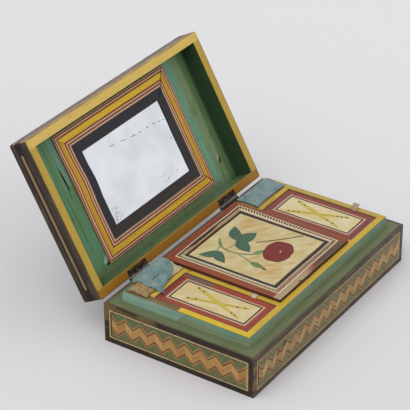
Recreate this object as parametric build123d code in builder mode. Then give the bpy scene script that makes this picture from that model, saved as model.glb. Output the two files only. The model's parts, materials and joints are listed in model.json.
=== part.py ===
from build123d import *
from math import cos, radians, sin
import os

# Sewing box in straw marquetry with its lid open. Millimetres. The origin is the middle of the
# underside of the box, +X runs along the width, -Y is the front, +Y the hinge side and +Z up.
# The lid is built in its own plane, whose coordinates are those that the closed lid has in the box.

# Carcass
body_width = 270.0
body_depth = 162.0
wall_height = 41.4
wall_board = 11.0
straw_sheet = 0.8
bottom_board = 6.0

# Inner lining, which stands above the walls and leans in a little
lining_board = 7.3
lining_rise = 11.3
lining_batter = 1.1
edging_straw = 0.5
left_edging_worn = 53.9
right_edging_worn = 3.9

# Compartments
partition_board = 5.0
side_well_width = 49.9
pincushion_well_depth = 19.0
ledge = 3.0
cover_clearance = 0.3

# Lift-out covers and pincushions
side_cover_board = 3.2
side_cover_drop = 0.8
centre_cover_board = 5.0
centre_cover_stand = 3.5
cover_sheet = 0.6
back_overlap = 3.6
centre_border = 7.3
centre_stringing = 9.2
side_border = 7.0
pad_board = 2.1
pad_inset = 0.9
left_pad_crown = 3.9
right_pad_crown = 2.8
pad_draw_in = 0.7

# Ribbon pull tabs
tab_width = 6.5
tab_ribbon = 0.6
tab_from_front = 25.5
left_tab_reach = 5.2
left_tab_tilt = 0.0
right_tab_reach = 7.5
right_tab_tilt = 35.0

# Marquetry on the outer walls
sheet_margin = 5.5
stringing = 1.5
zigzag_period = 16.4
zigzag_rise = 7.7
zigzag_band = 10.0

# Lid
open_angle = 119.0
lid_height = 22.2
lid_wall = 9.0
lid_board = 3.8
rim_straw = 0.5
lid_corner = 2.5
lid_arris = 0.8
seat_gap = 0.3
lid_band_width = 5.0
lid_band_depth = 0.6
lid_band_from_rim = 10.0
lid_band_end = 12.5

# Mirror and its frame
frame_side_margin = 46.75
frame_back_margin = 17.0
frame_front_margin = 14.0
frame_member = 27.0
frame_edge = 1.8
frame_crest = 3.0
frame_crest_at = 17.5
frame_lip_top = 2.5
frame_rebate = 6.0
mirror_thickness = 1.2
mirror_card = 0.6
mirror_play = 0.1

# Hinges
hinge_length = 29.0
hinge_from_end = 59.0
leaf_width = 6.5
leaf_thickness = 1.0
barrel_offset = 1.8
barrel_radius = 1.6
pin_radius = 0.8
pin_clearance = 0.05
pin_stand_out = 0.6
knuckle_gap = 0.25
mortise_clearance = 0.1
nail_shank = 1.0
nail_head = 2.2
nail_head_depth = 0.5
nail_length = 6.0
nail_clearance = 0.05
nail_spacing = 10.0
nail_from_edge = 2.3

# Places worked out from the sizes above
wall = wall_board + straw_sheet
half_width = body_width / 2
half_depth = body_depth / 2
well_half_width = half_width - wall - lining_board
well_half_depth = half_depth - wall - lining_board
deck = wall_height + lining_rise
partition_top = deck - edging_straw
centre_half_width = well_half_width - side_well_width - partition_board
cross_front = well_half_depth - pincushion_well_depth - partition_board
cross_back = cross_front + partition_board
side_cover_seat = deck - side_cover_drop - cover_sheet - side_cover_board
centre_cover_seat = deck + centre_cover_stand - cover_sheet - centre_cover_board
pad_seat = deck - pad_board
back_lining_top = min(centre_cover_seat, pad_seat)
cover_back = well_half_depth + back_overlap

ceiling = lid_height - lid_board
pin_y = half_depth + barrel_offset
pin_z = wall_height + seat_gap / 2
hinge_x = half_width - hinge_from_end
knuckle_length = (hinge_length - 2 * knuckle_gap) / 3
frame_width = body_width - 2 * frame_side_margin
frame_depth = body_depth - frame_back_margin - frame_front_margin
frame_y = (frame_front_margin - frame_back_margin) / 2
glass_width = frame_width - 2 * (frame_member - frame_rebate + mirror_play)
glass_depth = frame_depth - 2 * (frame_member - frame_rebate + mirror_play)

# The rim's middle swings about the pin from the closed lid's place
opening = radians(open_angle)
rim_y = pin_y - pin_y * cos(opening) + seat_gap / 2 * sin(opening)
rim_z = pin_z + pin_y * sin(opening) + seat_gap / 2 * cos(opening)
lid_plane = Plane(origin=(0, rim_y, rim_z), x_dir=(1, 0, 0), z_dir=(0, sin(opening), cos(opening)))
lid_section = Plane(origin=lid_plane.origin, x_dir=lid_plane.y_dir, z_dir=(1, 0, 0))

SIDES = ("front", "back", "left", "right")

os.makedirs("parts", exist_ok=True)


def save(part, name):
    """Label a finished piece and write it to its own file."""
    part.label = name
    export_step(part, f"parts/{name}.step")


def save_group(pieces, name):
    """Write pieces that touch each other to one file, each still a solid of its own."""
    save(Compound(children=pieces), name)


def mitred_ring(width, depth, thickness):
    """Plan outlines of four boards mitred into a rectangle, by side."""
    x0, x1 = width / 2, width / 2 - thickness
    y0, y1 = depth / 2, depth / 2 - thickness
    return {
        "front": [(-x0, -y0), (x0, -y0), (x1, -y1), (-x1, -y1)],
        "back": [(x0, y0), (-x0, y0), (-x1, y1), (x1, y1)],
        "left": [(-x0, y0), (-x0, -y0), (-x1, -y1), (-x1, y1)],
        "right": [(x0, -y0), (x0, y0), (x1, y1), (x1, -y1)],
    }


def rectangle(x0, x1, y0, y1):
    """Outline of an upright rectangle."""
    return [(x0, y0), (x1, y0), (x1, y1), (x0, y1)]


def draw_plate(base, outline, thickness, mode=Mode.ADD):
    """Add a plate of this outline and thickness, standing on a plane, to the part being built."""
    with BuildSketch(base) as shape:
        with BuildLine():
            Polyline(*outline, close=True)
        make_face()
    extrude(shape.sketch, amount=thickness, mode=mode)


def draw_frame(base, outer, inner, thickness):
    """Add a flat frame, the outer outline without the inner one, to the part being built."""
    with BuildSketch(base) as shape:
        with BuildLine():
            Polyline(*outer, close=True)
        make_face()
        with BuildLine():
            Polyline(*inner, close=True)
        make_face(mode=Mode.SUBTRACT)
    extrude(shape.sketch, amount=thickness)


def plate(base, outline, thickness):
    """A piece that is one plate."""
    with BuildPart() as piece:
        draw_plate(base, outline, thickness)
    return piece.part


def flat_frame(base, outer, inner, thickness):
    """A piece that is one flat frame."""
    with BuildPart() as piece:
        draw_frame(base, outer, inner, thickness)
    return piece.part


# Hinges: two leaves let in flush, with three knuckles on one pin, the middle one the lid's


def knuckle_spans(x, owner):
    """Start and length along the pin of the knuckles that one leaf carries."""
    step = knuckle_length + knuckle_gap
    first = x - hinge_length / 2
    middle = (first + step, knuckle_length)
    return [middle] if owner == "lid" else [(first, knuckle_length), (first + 2 * step, knuckle_length)]


def draw_nails(base, towards, x, length, clearance=0.0, mode=Mode.ADD):
    """Add the three cut nails of a leaf, square in section with a head let in flush, or their holes.

    base is the face that the heads lie in and towards is the direction into the wood.
    """
    shank_size = nail_shank + 2 * clearance
    head_size = nail_head + 2 * clearance
    y = half_depth - leaf_width + nail_from_edge
    for along in (-nail_spacing, 0.0, nail_spacing):
        place = (x + along, y)
        with BuildSketch(base) as shank:
            with Locations(place):
                Rectangle(shank_size, shank_size)
        extrude(shank.sketch, amount=towards * length, mode=mode)
        with BuildSketch(base) as head:
            with Locations(place):
                Rectangle(head_size, head_size)
        with BuildSketch(base.offset(towards * nail_head_depth)) as neck:
            with Locations(place):
                Rectangle(shank_size, shank_size)
        loft([head.sketch, neck.sketch], ruled=True, mode=mode)


box_seat = Plane.XY.offset(wall_height)


def leaf(owner, x):
    """One hinge leaf: a plate let into the land or the rim, its knuckles, and its nail holes."""
    section = lid_section if owner == "lid" else Plane.YZ
    low = 0.0 if owner == "lid" else wall_height - leaf_thickness
    axis_z = -seat_gap / 2 if owner == "lid" else pin_z
    middle_z = low + leaf_thickness / 2
    with BuildPart() as piece:
        with BuildSketch(section.offset(x - hinge_length / 2)):
            with Locations((half_depth - leaf_width / 2, middle_z)):
                Rectangle(leaf_width, leaf_thickness)
        extrude(amount=hinge_length)
        for start, length in knuckle_spans(x, owner):
            with BuildSketch(section.offset(start)):
                with Locations((half_depth + barrel_offset / 2, middle_z)):
                    Rectangle(barrel_offset, leaf_thickness)
                with Locations((pin_y, axis_z)):
                    Circle(barrel_radius)
            extrude(amount=length)
        with BuildSketch(section.offset(x - hinge_length / 2)):
            with Locations((pin_y, axis_z)):
                Circle(pin_radius + pin_clearance)
        extrude(amount=hinge_length, mode=Mode.SUBTRACT)
        face, towards = (lid_plane, 1) if owner == "lid" else (box_seat, -1)
        draw_nails(face, towards, x, leaf_thickness, nail_clearance, Mode.SUBTRACT)
    return piece.part


def hinge_mortises(base, towards):
    """Pockets for both leaves and holes for their nails, to be cut out of a board and its straw."""
    with BuildPart() as pockets:
        for x in (-hinge_x, hinge_x):
            with BuildSketch(base):
                with Locations((x, half_depth)):
                    Rectangle(hinge_length + 2 * mortise_clearance, 2 * (leaf_width + mortise_clearance))
            extrude(amount=towards * (leaf_thickness + mortise_clearance))
            draw_nails(base, towards, x, nail_length + mortise_clearance, nail_clearance)
    return pockets.part


def nails(base, towards):
    """The six nails of one half of both hinges."""
    with BuildPart() as driven:
        for x in (-hinge_x, hinge_x):
            draw_nails(base, towards, x, nail_length)
    return driven.part


box_mortises = hinge_mortises(box_seat, -1)
lid_mortises = hinge_mortises(lid_plane, 1)

for side_name, x in (("left", -hinge_x), ("right", hinge_x)):
    save(leaf("box", x), f"{side_name}_box_leaf")
    save(leaf("lid", x), f"{side_name}_lid_leaf")

save(nails(box_seat, -1), "box_leaf_nails")
save(nails(lid_plane, 1), "lid_leaf_nails")

with BuildPart() as hinge_pins:
    for x in (-hinge_x, hinge_x):
        with BuildSketch(Plane.YZ.offset(x - hinge_length / 2 - pin_stand_out)):
            with Locations((pin_y, pin_z)):
                Circle(pin_radius)
        extrude(amount=hinge_length + 2 * pin_stand_out)
    chamfer(hinge_pins.edges().filter_by(GeomType.CIRCLE), length=pin_radius / 3)
save(hinge_pins.part, "hinge_pins")


# Box carcass: a bottom board inside four mitred walls

with BuildPart() as box_bottom:
    with BuildSketch():
        Rectangle(body_width - 2 * wall, body_depth - 2 * wall)
    extrude(amount=bottom_board)
save(box_bottom.part, "box_bottom")

wall_plans = mitred_ring(body_width - 2 * straw_sheet, body_depth - 2 * straw_sheet, wall_board)
for side in SIDES:
    with BuildPart() as wall_piece:
        draw_plate(Plane.XY, wall_plans[side], wall_height)
        if side == "back":
            add(box_mortises, mode=Mode.SUBTRACT)
    save(wall_piece.part, f"wall_{side}")


# Lining: four mitred boards that stand on the bottom and rise above the walls, leaning inwards

lining_width = body_width - 2 * wall
lining_depth = body_depth - 2 * wall


def lining(side, top):
    """One lining board: upright to the top of the wall, then tapering on its outer face."""
    lean = lining_batter * (top - wall_height) / lining_rise
    foot = mitred_ring(lining_width, lining_depth, lining_board)[side]
    head = mitred_ring(lining_width - 2 * lean, lining_depth - 2 * lean, lining_board - lean)[side]
    with BuildPart() as board:
        draw_plate(Plane.XY.offset(bottom_board), foot, wall_height - bottom_board)
        for height, outline in ((wall_height, foot), (top, head)):
            with BuildSketch(Plane.XY.offset(height)):
                with BuildLine():
                    Polyline(*outline, close=True)
                make_face()
        loft(ruled=True)
    return board.part


for side in SIDES:
    save(lining(side, back_lining_top if side == "back" else partition_top), f"lining_{side}")


# Partitions: two that run from front to back, and two short ones in front of the pincushions

for side, sign in (("left", -1), ("right", 1)):
    near, far = sorted((sign * centre_half_width, sign * (centre_half_width + partition_board)))
    inner, outer = sorted((sign * (centre_half_width + partition_board), sign * well_half_width))
    board_height = partition_top - bottom_board
    floor_plane = Plane.XY.offset(bottom_board)
    with BuildPart() as partition:
        draw_plate(floor_plane, rectangle(near, far, -well_half_depth, well_half_depth), board_height)
    save(partition.part, f"partition_{side}")
    with BuildPart() as cross_partition:
        draw_plate(floor_plane, rectangle(inner, outer, cross_front, cross_back), board_height)
    save(cross_partition.part, f"cross_partition_{side}")


# Ledges that the covers and the pincushions rest on


def ledge_runs(sign):
    """Outline and seat height of the ledges on one side: under both covers and the pincushion."""
    inner_face = sign * centre_half_width
    outer_face = sign * (centre_half_width + partition_board)
    lining_face = sign * well_half_width
    x_inner = sorted((inner_face, inner_face - sign * ledge))
    x_outer = sorted((outer_face, outer_face + sign * ledge))
    x_lining = sorted((lining_face, lining_face - sign * ledge))
    x_pad = sorted((outer_face, lining_face))
    return [
        (rectangle(*x_inner, -well_half_depth, well_half_depth), centre_cover_seat),
        (rectangle(*x_outer, -well_half_depth, cross_front), side_cover_seat),
        (rectangle(*x_lining, -well_half_depth, cross_front), side_cover_seat),
        (rectangle(*x_pad, cross_back, cross_back + ledge), pad_seat),
    ]


with BuildPart() as cover_ledges:
    for sign in (-1, 1):
        for outline, seat in ledge_runs(sign):
            draw_plate(Plane.XY.offset(seat - ledge), outline, ledge)
save(cover_ledges.part, "cover_ledges")


# Straw edging on the tops of the lining and the partitions. The strips of the side linings
# are worn away at the back, the left one for more than a third of its length.

edging_width = lining_width - 2 * lining_batter
edging_depth = lining_depth - 2 * lining_batter
edging_top_width = lining_board - lining_batter
front_strip = mitred_ring(edging_width, edging_depth, edging_top_width)["front"]
edge_x = edging_width / 2
edge_y = edging_depth / 2


def side_strip(sign, worn):
    """Edging of a side lining: mitred at the front and square where its worn stretch begins."""
    end = well_half_depth - worn
    return [
        (sign * edge_x, -edge_y),
        (sign * edge_x, end),
        (sign * well_half_width, end),
        (sign * well_half_width, -well_half_depth),
    ]


edging_outlines = [front_strip, side_strip(-1, left_edging_worn), side_strip(1, right_edging_worn)]
for sign in (-1, 1):
    near, far = sorted((sign * centre_half_width, sign * (centre_half_width + partition_board)))
    inner, outer = sorted((sign * (centre_half_width + partition_board), sign * well_half_width))
    edging_outlines.append(rectangle(near, far, -well_half_depth, well_half_depth))
    edging_outlines.append(rectangle(inner, outer, cross_front, cross_back))

edging_plane = Plane.XY.offset(partition_top)
save_group([plate(edging_plane, outline, edging_straw) for outline in edging_outlines], "straw_edging")


# Marquetry sheets on the four outer walls: a dark border, a stringing line, and a ground
# that a zigzag band runs through, all flush


def wall_sheet_plane(side):
    """Plane on a wall board's face, with x along the wall and y up."""
    if side == "front":
        return Plane(origin=(0, straw_sheet - half_depth, 0), x_dir=(1, 0, 0), z_dir=(0, -1, 0))
    if side == "back":
        return Plane(origin=(0, half_depth - straw_sheet, 0), x_dir=(-1, 0, 0), z_dir=(0, 1, 0))
    if side == "left":
        return Plane(origin=(straw_sheet - half_width, 0, 0), x_dir=(0, -1, 0), z_dir=(-1, 0, 0))
    return Plane(origin=(half_width - straw_sheet, 0, 0), x_dir=(0, 1, 0), z_dir=(1, 0, 0))


def zigzag_edge(reach, middle):
    """Points of a zigzag from -reach to reach that starts and ends on a peak."""
    turns = 2 * max(1, round(2 * reach / zigzag_period))
    step = 2 * reach / turns
    return [
        (-reach + i * step, middle + (zigzag_rise / 2 if i % 2 == 0 else -zigzag_rise / 2))
        for i in range(turns + 1)
    ]


def marquetry(side):
    """Sheet, zigzag and stringing of one wall."""
    length = body_width if side in ("front", "back") else body_depth - 2 * straw_sheet
    end_margin = sheet_margin if side in ("front", "back") else sheet_margin - straw_sheet
    base = wall_sheet_plane(side)
    half = length / 2
    field = half - end_margin
    whole = rectangle(-half, half, 0, wall_height)
    line_outer = rectangle(-field, field, sheet_margin, wall_height - sheet_margin)
    reach = field - stringing
    low, high = sheet_margin + stringing, wall_height - sheet_margin - stringing
    ground = rectangle(-reach, reach, low, high)
    middle = wall_height / 2
    upper = zigzag_edge(reach, middle + zigzag_band / 2)
    lower = zigzag_edge(reach, middle - zigzag_band / 2)
    with BuildPart() as sheet:
        draw_frame(base, whole, line_outer, straw_sheet)
        draw_plate(base, upper + [(reach, high), (-reach, high)], straw_sheet)
        draw_plate(base, lower + [(reach, low), (-reach, low)], straw_sheet)
        if side == "back":
            add(box_mortises, mode=Mode.SUBTRACT)
    save(sheet.part, f"panel_{side}")
    save(plate(base, upper + lower[::-1], straw_sheet), f"zigzag_{side}")
    return flat_frame(base, line_outer, ground, straw_sheet)


save_group([marquetry(side) for side in SIDES], "box_stringing")


# Covers: a board with a flush straw sheet on it, a border round a panel


def inset(outline_box, margin):
    """A box of x0, x1, y0, y1 brought in by a margin on every side."""
    x0, x1, y0, y1 = outline_box
    return (x0 + margin, x1 - margin, y0 + margin, y1 - margin)


centre_box = (
    cover_clearance - centre_half_width,
    centre_half_width - cover_clearance,
    cover_clearance - well_half_depth,
    cover_back,
)
centre_sheet_plane = Plane.XY.offset(centre_cover_seat + centre_cover_board)
centre_field = inset(centre_box, centre_border)
centre_panel_box = inset(centre_field, centre_stringing)

with BuildPart() as centre_cover:
    draw_plate(Plane.XY.offset(centre_cover_seat), rectangle(*centre_box), centre_cover_board)
save(centre_cover.part, "centre_cover_board")

with BuildPart() as centre_border_sheet:
    draw_frame(centre_sheet_plane, rectangle(*centre_box), rectangle(*centre_field), cover_sheet)
save(centre_border_sheet.part, "centre_cover_border")

with BuildPart() as centre_lines:
    draw_frame(centre_sheet_plane, rectangle(*centre_field), rectangle(*centre_panel_box), cover_sheet)
save(centre_lines.part, "centre_cover_stringing")

with BuildPart() as centre_panel:
    draw_plate(centre_sheet_plane, rectangle(*centre_panel_box), cover_sheet)
save(centre_panel.part, "centre_cover_panel")


def ribbon_tab(edge_x, reach, tilt, base_z):
    """A ribbon pull: up through a notch in the cover's edge, then out over the strip beside it.

    edge_x is the cover's edge, reach the length of the free end and tilt the angle at which it stands up.
    """
    leg_top = deck + tab_ribbon
    out_x = reach * cos(radians(tilt))
    out_z = reach * sin(radians(tilt))
    side_x = tab_ribbon * sin(radians(tilt))
    side_z = tab_ribbon * cos(radians(tilt))
    outline = [
        (edge_x - tab_ribbon, base_z),
        (edge_x, base_z),
        (edge_x, leg_top - tab_ribbon / 2),
        (edge_x + out_x, leg_top - tab_ribbon / 2 + out_z),
        (edge_x + out_x - side_x, leg_top - tab_ribbon / 2 + out_z + side_z),
        (edge_x - tab_ribbon, leg_top + tab_ribbon / 2),
    ]
    tab_middle = tab_from_front - well_half_depth
    with BuildPart() as tab:
        with BuildSketch(Plane.XZ.offset(-tab_middle - tab_width / 2)):
            with BuildLine():
                Polyline(*outline, close=True)
            make_face()
        extrude(amount=tab_width)
    return tab.part


def side_cover(name, x_inner, x_outer, reach, tilt):
    """A side cover and its ribbon, whose notch is in the edge on the +X side."""
    x0, x1 = sorted((x_inner, x_outer))
    cover_box = (x0, x1, cover_clearance - well_half_depth, cross_front - cover_clearance)
    sheet_plane = Plane.XY.offset(side_cover_seat + side_cover_board)
    field = inset(cover_box, side_border)
    notch = 2 * tab_ribbon
    tab = ribbon_tab(x1, reach, tilt, side_cover_seat)
    y0, y1 = tab.bounding_box().min.Y, tab.bounding_box().max.Y
    cut = rectangle(x1 - notch, x1 + notch, y0 - cover_clearance, y1 + cover_clearance)
    height = side_cover_board + cover_sheet
    with BuildPart() as board:
        draw_plate(Plane.XY.offset(side_cover_seat), rectangle(*cover_box), side_cover_board)
        draw_plate(Plane.XY.offset(side_cover_seat), cut, height, Mode.SUBTRACT)
    save(board.part, f"{name}_cover_board")
    with BuildPart() as border:
        draw_frame(sheet_plane, rectangle(*cover_box), rectangle(*field), cover_sheet)
        draw_plate(Plane.XY.offset(side_cover_seat), cut, height, Mode.SUBTRACT)
    save(border.part, f"{name}_cover_border")
    save(plate(sheet_plane, rectangle(*field), cover_sheet), f"{name}_cover_panel")
    save(tab, f"{name}_cover_tab")


cover_inner = centre_half_width + partition_board + cover_clearance
cover_outer = well_half_width - cover_clearance
side_cover("left", -cover_inner, -cover_outer, left_tab_reach, left_tab_tilt)
side_cover("right", cover_inner, cover_outer, right_tab_reach, right_tab_tilt)


# Pincushions: a thin board with a stuffed silk pad on it


def cushion_ring(box, margin, draw_in):
    """Outline of a cushion seen from above: four corners with sides that pull in between them."""
    x0, x1, y0, y1 = inset(box, margin)
    x_mid, y_mid = (x0 + x1) / 2, (y0 + y1) / 2
    ThreePointArc((x0, y0), (x_mid, y0 + draw_in), (x1, y0))
    ThreePointArc((x1, y0), (x1 - draw_in, y_mid), (x1, y1))
    ThreePointArc((x1, y1), (x_mid, y1 - draw_in), (x0, y1))
    ThreePointArc((x0, y1), (x0 + draw_in, y_mid), (x0, y0))


def pincushion(name, sign, crown):
    """A pincushion board and its pad, whose sides swell and whose top is crowned."""
    x0, x1 = sorted((sign * cover_inner, sign * cover_outer))
    board_box = (x0, x1, cross_back + cover_clearance, cover_back)
    save(plate(Plane.XY.offset(pad_seat), rectangle(*board_box), pad_board), f"{name}_pincushion_board")
    levels = ((0.0, 0.5), (0.28, 0.0), (0.56, 0.9), (0.82, 3.2), (1.0, 7.0))
    with BuildPart() as pad:
        for share, margin in levels:
            with BuildSketch(Plane.XY.offset(deck + share * crown)):
                with BuildLine():
                    cushion_ring(board_box, pad_inset + margin, pad_draw_in)
                make_face()
        loft(ruled=True)
    save(pad.part, f"{name}_pincushion_pad")


pincushion("left", -1, left_pad_crown)
pincushion("right", 1, right_pad_crown)


# Lid: four mitred walls under one board, with a straw strip on the rim and a band let into each side

with BuildPart() as lid_top:
    with BuildSketch(lid_plane.offset(ceiling)):
        RectangleRounded(body_width, body_depth, lid_corner)
    extrude(amount=lid_board)
    fillet(lid_top.faces().sort_by(Axis(lid_plane.origin, lid_plane.z_dir))[-1].edges(), lid_arris)
save(lid_top.part, "lid_top")

rim_plans = mitred_ring(body_width, body_depth, lid_wall)


def round_lid_corners():
    """Trim what is being built to the rounded corners of the lid."""
    with BuildSketch(lid_plane) as plan:
        RectangleRounded(body_width, body_depth, lid_corner)
    extrude(plan.sketch, amount=lid_height, mode=Mode.INTERSECT)


def band_frame(side):
    """Plane on the outer face of a lid wall, with x along it and y away from the rim."""
    x, y, z = lid_plane.x_dir, lid_plane.y_dir, lid_plane.z_dir
    across, along, reach = {
        "front": (-y, x, half_depth),
        "back": (y, -x, half_depth),
        "left": (-x, -y, half_width),
        "right": (x, y, half_width),
    }[side]
    return Plane(origin=lid_plane.origin + across * reach, x_dir=along, z_dir=across)


def draw_band(side, mode=Mode.ADD):
    """Add the stringing band of one side of the lid, or cut the groove that it lies flush in."""
    length = body_width if side in ("front", "back") else body_depth
    half = length / 2 - lid_band_end
    outline = rectangle(-half, half, lid_band_from_rim, lid_band_from_rim + lid_band_width)
    draw_plate(band_frame(side).offset(-lid_band_depth), outline, lid_band_depth, mode)


for side in SIDES:
    with BuildPart() as lid_side:
        draw_plate(lid_plane.offset(rim_straw), rim_plans[side], ceiling - rim_straw)
        round_lid_corners()
        draw_band(side, Mode.SUBTRACT)
        if side == "back":
            add(lid_mortises, mode=Mode.SUBTRACT)
    save(lid_side.part, f"lid_wall_{side}")


def rim_strip(side):
    """The straw on the rim of one lid wall, cut round the hinges at the back."""
    with BuildPart() as strip:
        draw_plate(lid_plane, rim_plans[side], rim_straw)
        round_lid_corners()
        if side == "back":
            add(lid_mortises, mode=Mode.SUBTRACT)
    return strip.part


save_group([rim_strip(side) for side in SIDES], "lid_rim_straw")

with BuildPart() as lid_stringing:
    for side in SIDES:
        draw_band(side)
save(lid_stringing.part, "lid_stringing")


# Mirror: card, glass and a mitred frame rebated over the glass


def frame_moulding():
    """Section of a frame member: x from its outer edge inwards, y down from the ceiling."""
    rebate_depth = mirror_card + mirror_thickness + mirror_play
    return [
        (0, 0),
        (0, -frame_edge),
        (frame_crest_at, -frame_crest),
        (frame_member, -frame_lip_top),
        (frame_member, -rebate_depth),
        (frame_member - frame_rebate, -rebate_depth),
        (frame_member - frame_rebate, 0),
    ]


def frame_part(side):
    """One mitred member of the mirror frame, lying on the lid's ceiling."""
    x, y, z = lid_plane.x_dir, lid_plane.y_dir, lid_plane.z_dir
    inward, along, reach, length = {
        "front": (y, x, frame_depth / 2, frame_width),
        "back": (-y, -x, frame_depth / 2, frame_width),
        "left": (x, -y, frame_width / 2, frame_depth),
        "right": (-x, y, frame_width / 2, frame_depth),
    }[side]
    centre = lid_plane.origin + y * frame_y + z * ceiling
    outer = centre - inward * reach
    with BuildPart() as member:
        with BuildSketch(Plane(origin=outer, x_dir=inward, z_dir=along)):
            with BuildLine():
                Polyline(*frame_moulding(), close=True)
            make_face()
        extrude(amount=length / 2, both=True)
        for end in (-1, 1):
            corner = outer + along * (end * length / 2)
            split(bisect_by=Plane(origin=corner, z_dir=along * end + inward), keep=Keep.BOTTOM)
    return member.part


for side in SIDES:
    save(frame_part(side), f"mirror_frame_{side}")

glass_outline = rectangle(
    -glass_width / 2, glass_width / 2, frame_y - glass_depth / 2, frame_y + glass_depth / 2
)
card_plane = lid_plane.offset(ceiling - mirror_card)

with BuildPart() as backing_card:
    draw_plate(card_plane, glass_outline, mirror_card)
save(backing_card.part, "mirror_card")

with BuildPart() as mirror_glass:
    draw_plate(card_plane.offset(-mirror_thickness), glass_outline, mirror_thickness)
save(mirror_glass.part, "mirror_glass")
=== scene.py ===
"""A straw marquetry sewing box, open to show its mirror, covers and pincushions.

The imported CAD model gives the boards, hinges, covers and glass, and each gets its finish here.
The split straws of the ornament, the silk of the pincushions and the ribbon pulls are made on
top of it. Lengths are in millimetres until a mesh is made, and colours are sRGB hex values.
"""
import json
import logging
import math
from dataclasses import dataclass, replace
from enum import Enum
from typing import Callable, Protocol, Sequence

import bmesh
import bpy
import numpy as np
from mathutils import Euler, Matrix, Vector


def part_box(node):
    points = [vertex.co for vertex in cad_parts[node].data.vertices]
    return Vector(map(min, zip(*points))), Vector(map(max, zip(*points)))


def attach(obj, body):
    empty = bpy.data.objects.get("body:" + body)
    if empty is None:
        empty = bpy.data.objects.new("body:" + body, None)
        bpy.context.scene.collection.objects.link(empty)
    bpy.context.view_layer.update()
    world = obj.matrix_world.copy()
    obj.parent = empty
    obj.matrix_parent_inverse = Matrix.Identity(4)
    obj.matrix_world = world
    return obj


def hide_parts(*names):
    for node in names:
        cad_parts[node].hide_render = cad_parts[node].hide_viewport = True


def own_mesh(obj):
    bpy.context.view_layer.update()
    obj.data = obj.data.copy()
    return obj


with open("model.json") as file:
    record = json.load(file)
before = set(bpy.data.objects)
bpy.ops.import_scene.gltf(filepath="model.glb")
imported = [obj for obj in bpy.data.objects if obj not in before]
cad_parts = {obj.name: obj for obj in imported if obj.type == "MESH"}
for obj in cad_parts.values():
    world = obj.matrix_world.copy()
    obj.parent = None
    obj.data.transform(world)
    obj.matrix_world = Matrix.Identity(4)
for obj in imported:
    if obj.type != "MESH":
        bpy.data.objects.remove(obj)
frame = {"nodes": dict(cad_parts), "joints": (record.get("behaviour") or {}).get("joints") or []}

log = logging.getLogger("sewing_box")

Socket = bpy.types.NodeSocket
Material = bpy.types.Material
Numbers = np.ndarray
Pair = tuple[float, float]
Triple = tuple[float, float, float]

MM = 0.001
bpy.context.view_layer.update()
TONE = "tone"
MODES = {"Math": "operation", "VectorMath": "operation", "MapRange": "interpolation_type", "Mix": "blend_type"}

# Sizes that the ornament shares with the boards under it
SEAT_GAP = 0.3
HALF_WIDTH = 135.0
HALF_DEPTH = 81.0
WALL_HEIGHT = 41.4
LID_CEILING = 18.4
ZIGZAG_PERIOD = 16.4
ZIGZAG_INSET = 7.0

# How deep a border straw is let into its cover, how wide the shadow of a joint is as a share of a
# straw, how strongly a dull waxed surface mirrors, and how many sides a thread has
INLAY = 0.62
JOINT_SHARE = 0.055
WAXED = 0.22
THREAD_SIDES = 5


def linear(colour: str) -> tuple[float, float, float, float]:
    """Turns an sRGB hex colour into linear RGBA.

    Args:
        colour: six hex digits after a hash.

    Returns:
        Four numbers from 0 to 1, the last of them 1.
    """
    channels = [int(colour[i : i + 2], 16) / 255 for i in (1, 3, 5)]
    parts = [c / 12.92 if c <= 0.04045 else ((c + 0.055) / 1.055) ** 2.4 for c in channels]
    return (*parts, 1.0)


def node_box(name: str) -> tuple[Numbers, Numbers]:
    """Lowest and highest corner of a CAD node in millimetres."""
    low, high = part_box(name)
    return np.array(low) / MM, np.array(high) / MM


def stand(name: str, data: bpy.types.ID) -> bpy.types.Object:
    """Adds an object to the scene.

    Args:
        name: the object's name.
        data: the mesh, lamp or camera that it shows.

    Returns:
        The new object.
    """
    made = bpy.data.objects.new(name, data)
    bpy.context.scene.collection.objects.link(made)
    return made


def unit(vectors: Numbers) -> Numbers:
    """Vectors along the last axis, scaled to a length of 1."""
    return vectors / np.maximum(np.linalg.norm(vectors, axis=-1, keepdims=True), 1e-9)


def walked(points: Numbers) -> Numbers:
    """How far along a line each of its points lies."""
    return np.concatenate([[0.0], np.cumsum(np.linalg.norm(np.diff(points, axis=0), axis=1))])


def ramp(value: Numbers, start: float, end: float) -> Numbers:
    """A smooth step: 0 at the start, 1 at the end, a cubic between them."""
    t = np.clip((value - start) / (end - start), 0.0, 1.0)
    return t * t * (3 - 2 * t)


def lumps(x: Numbers, y: Numbers, size: float, seed: int, waves: int = 14) -> Numbers:
    """Smooth chance relief: a sum of cosines that run in every direction, with wavelengths near a size.

    Args:
        x: first coordinate in millimetres.
        y: second coordinate in millimetres.
        size: the mean wavelength in millimetres.
        seed: sets one relief apart from another.
        waves: how many cosines are added.

    Returns:
        Values about 0, mostly between -1 and 1.
    """
    chance = np.random.default_rng(seed)
    angle = chance.uniform(0, math.tau, waves)
    turns = math.tau / (size * chance.uniform(0.6, 1.6, waves))
    start = chance.uniform(0, math.tau, waves)
    along = np.multiply.outer(x, np.cos(angle) * turns) + np.multiply.outer(y, np.sin(angle) * turns)
    return np.cos(along + start).sum(axis=-1) / math.sqrt(waves)


def grid_quads(rows: int, columns: int, closed: bool = False) -> Numbers:
    """Faces between the neighbours in a grid of points.

    Args:
        rows: how many rows of points there are.
        columns: how many points a row has.
        closed: whether the last point of a row also meets its first.

    Returns:
        Quads, as rows of four vertex numbers.
    """
    i, j = np.meshgrid(np.arange(rows - 1), np.arange(columns if closed else columns - 1), indexing="ij")
    a, b = i * columns + j, i * columns + (j + 1) % columns
    return np.stack([a, b, b + columns, a + columns], axis=-1).reshape(-1, 4)


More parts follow.
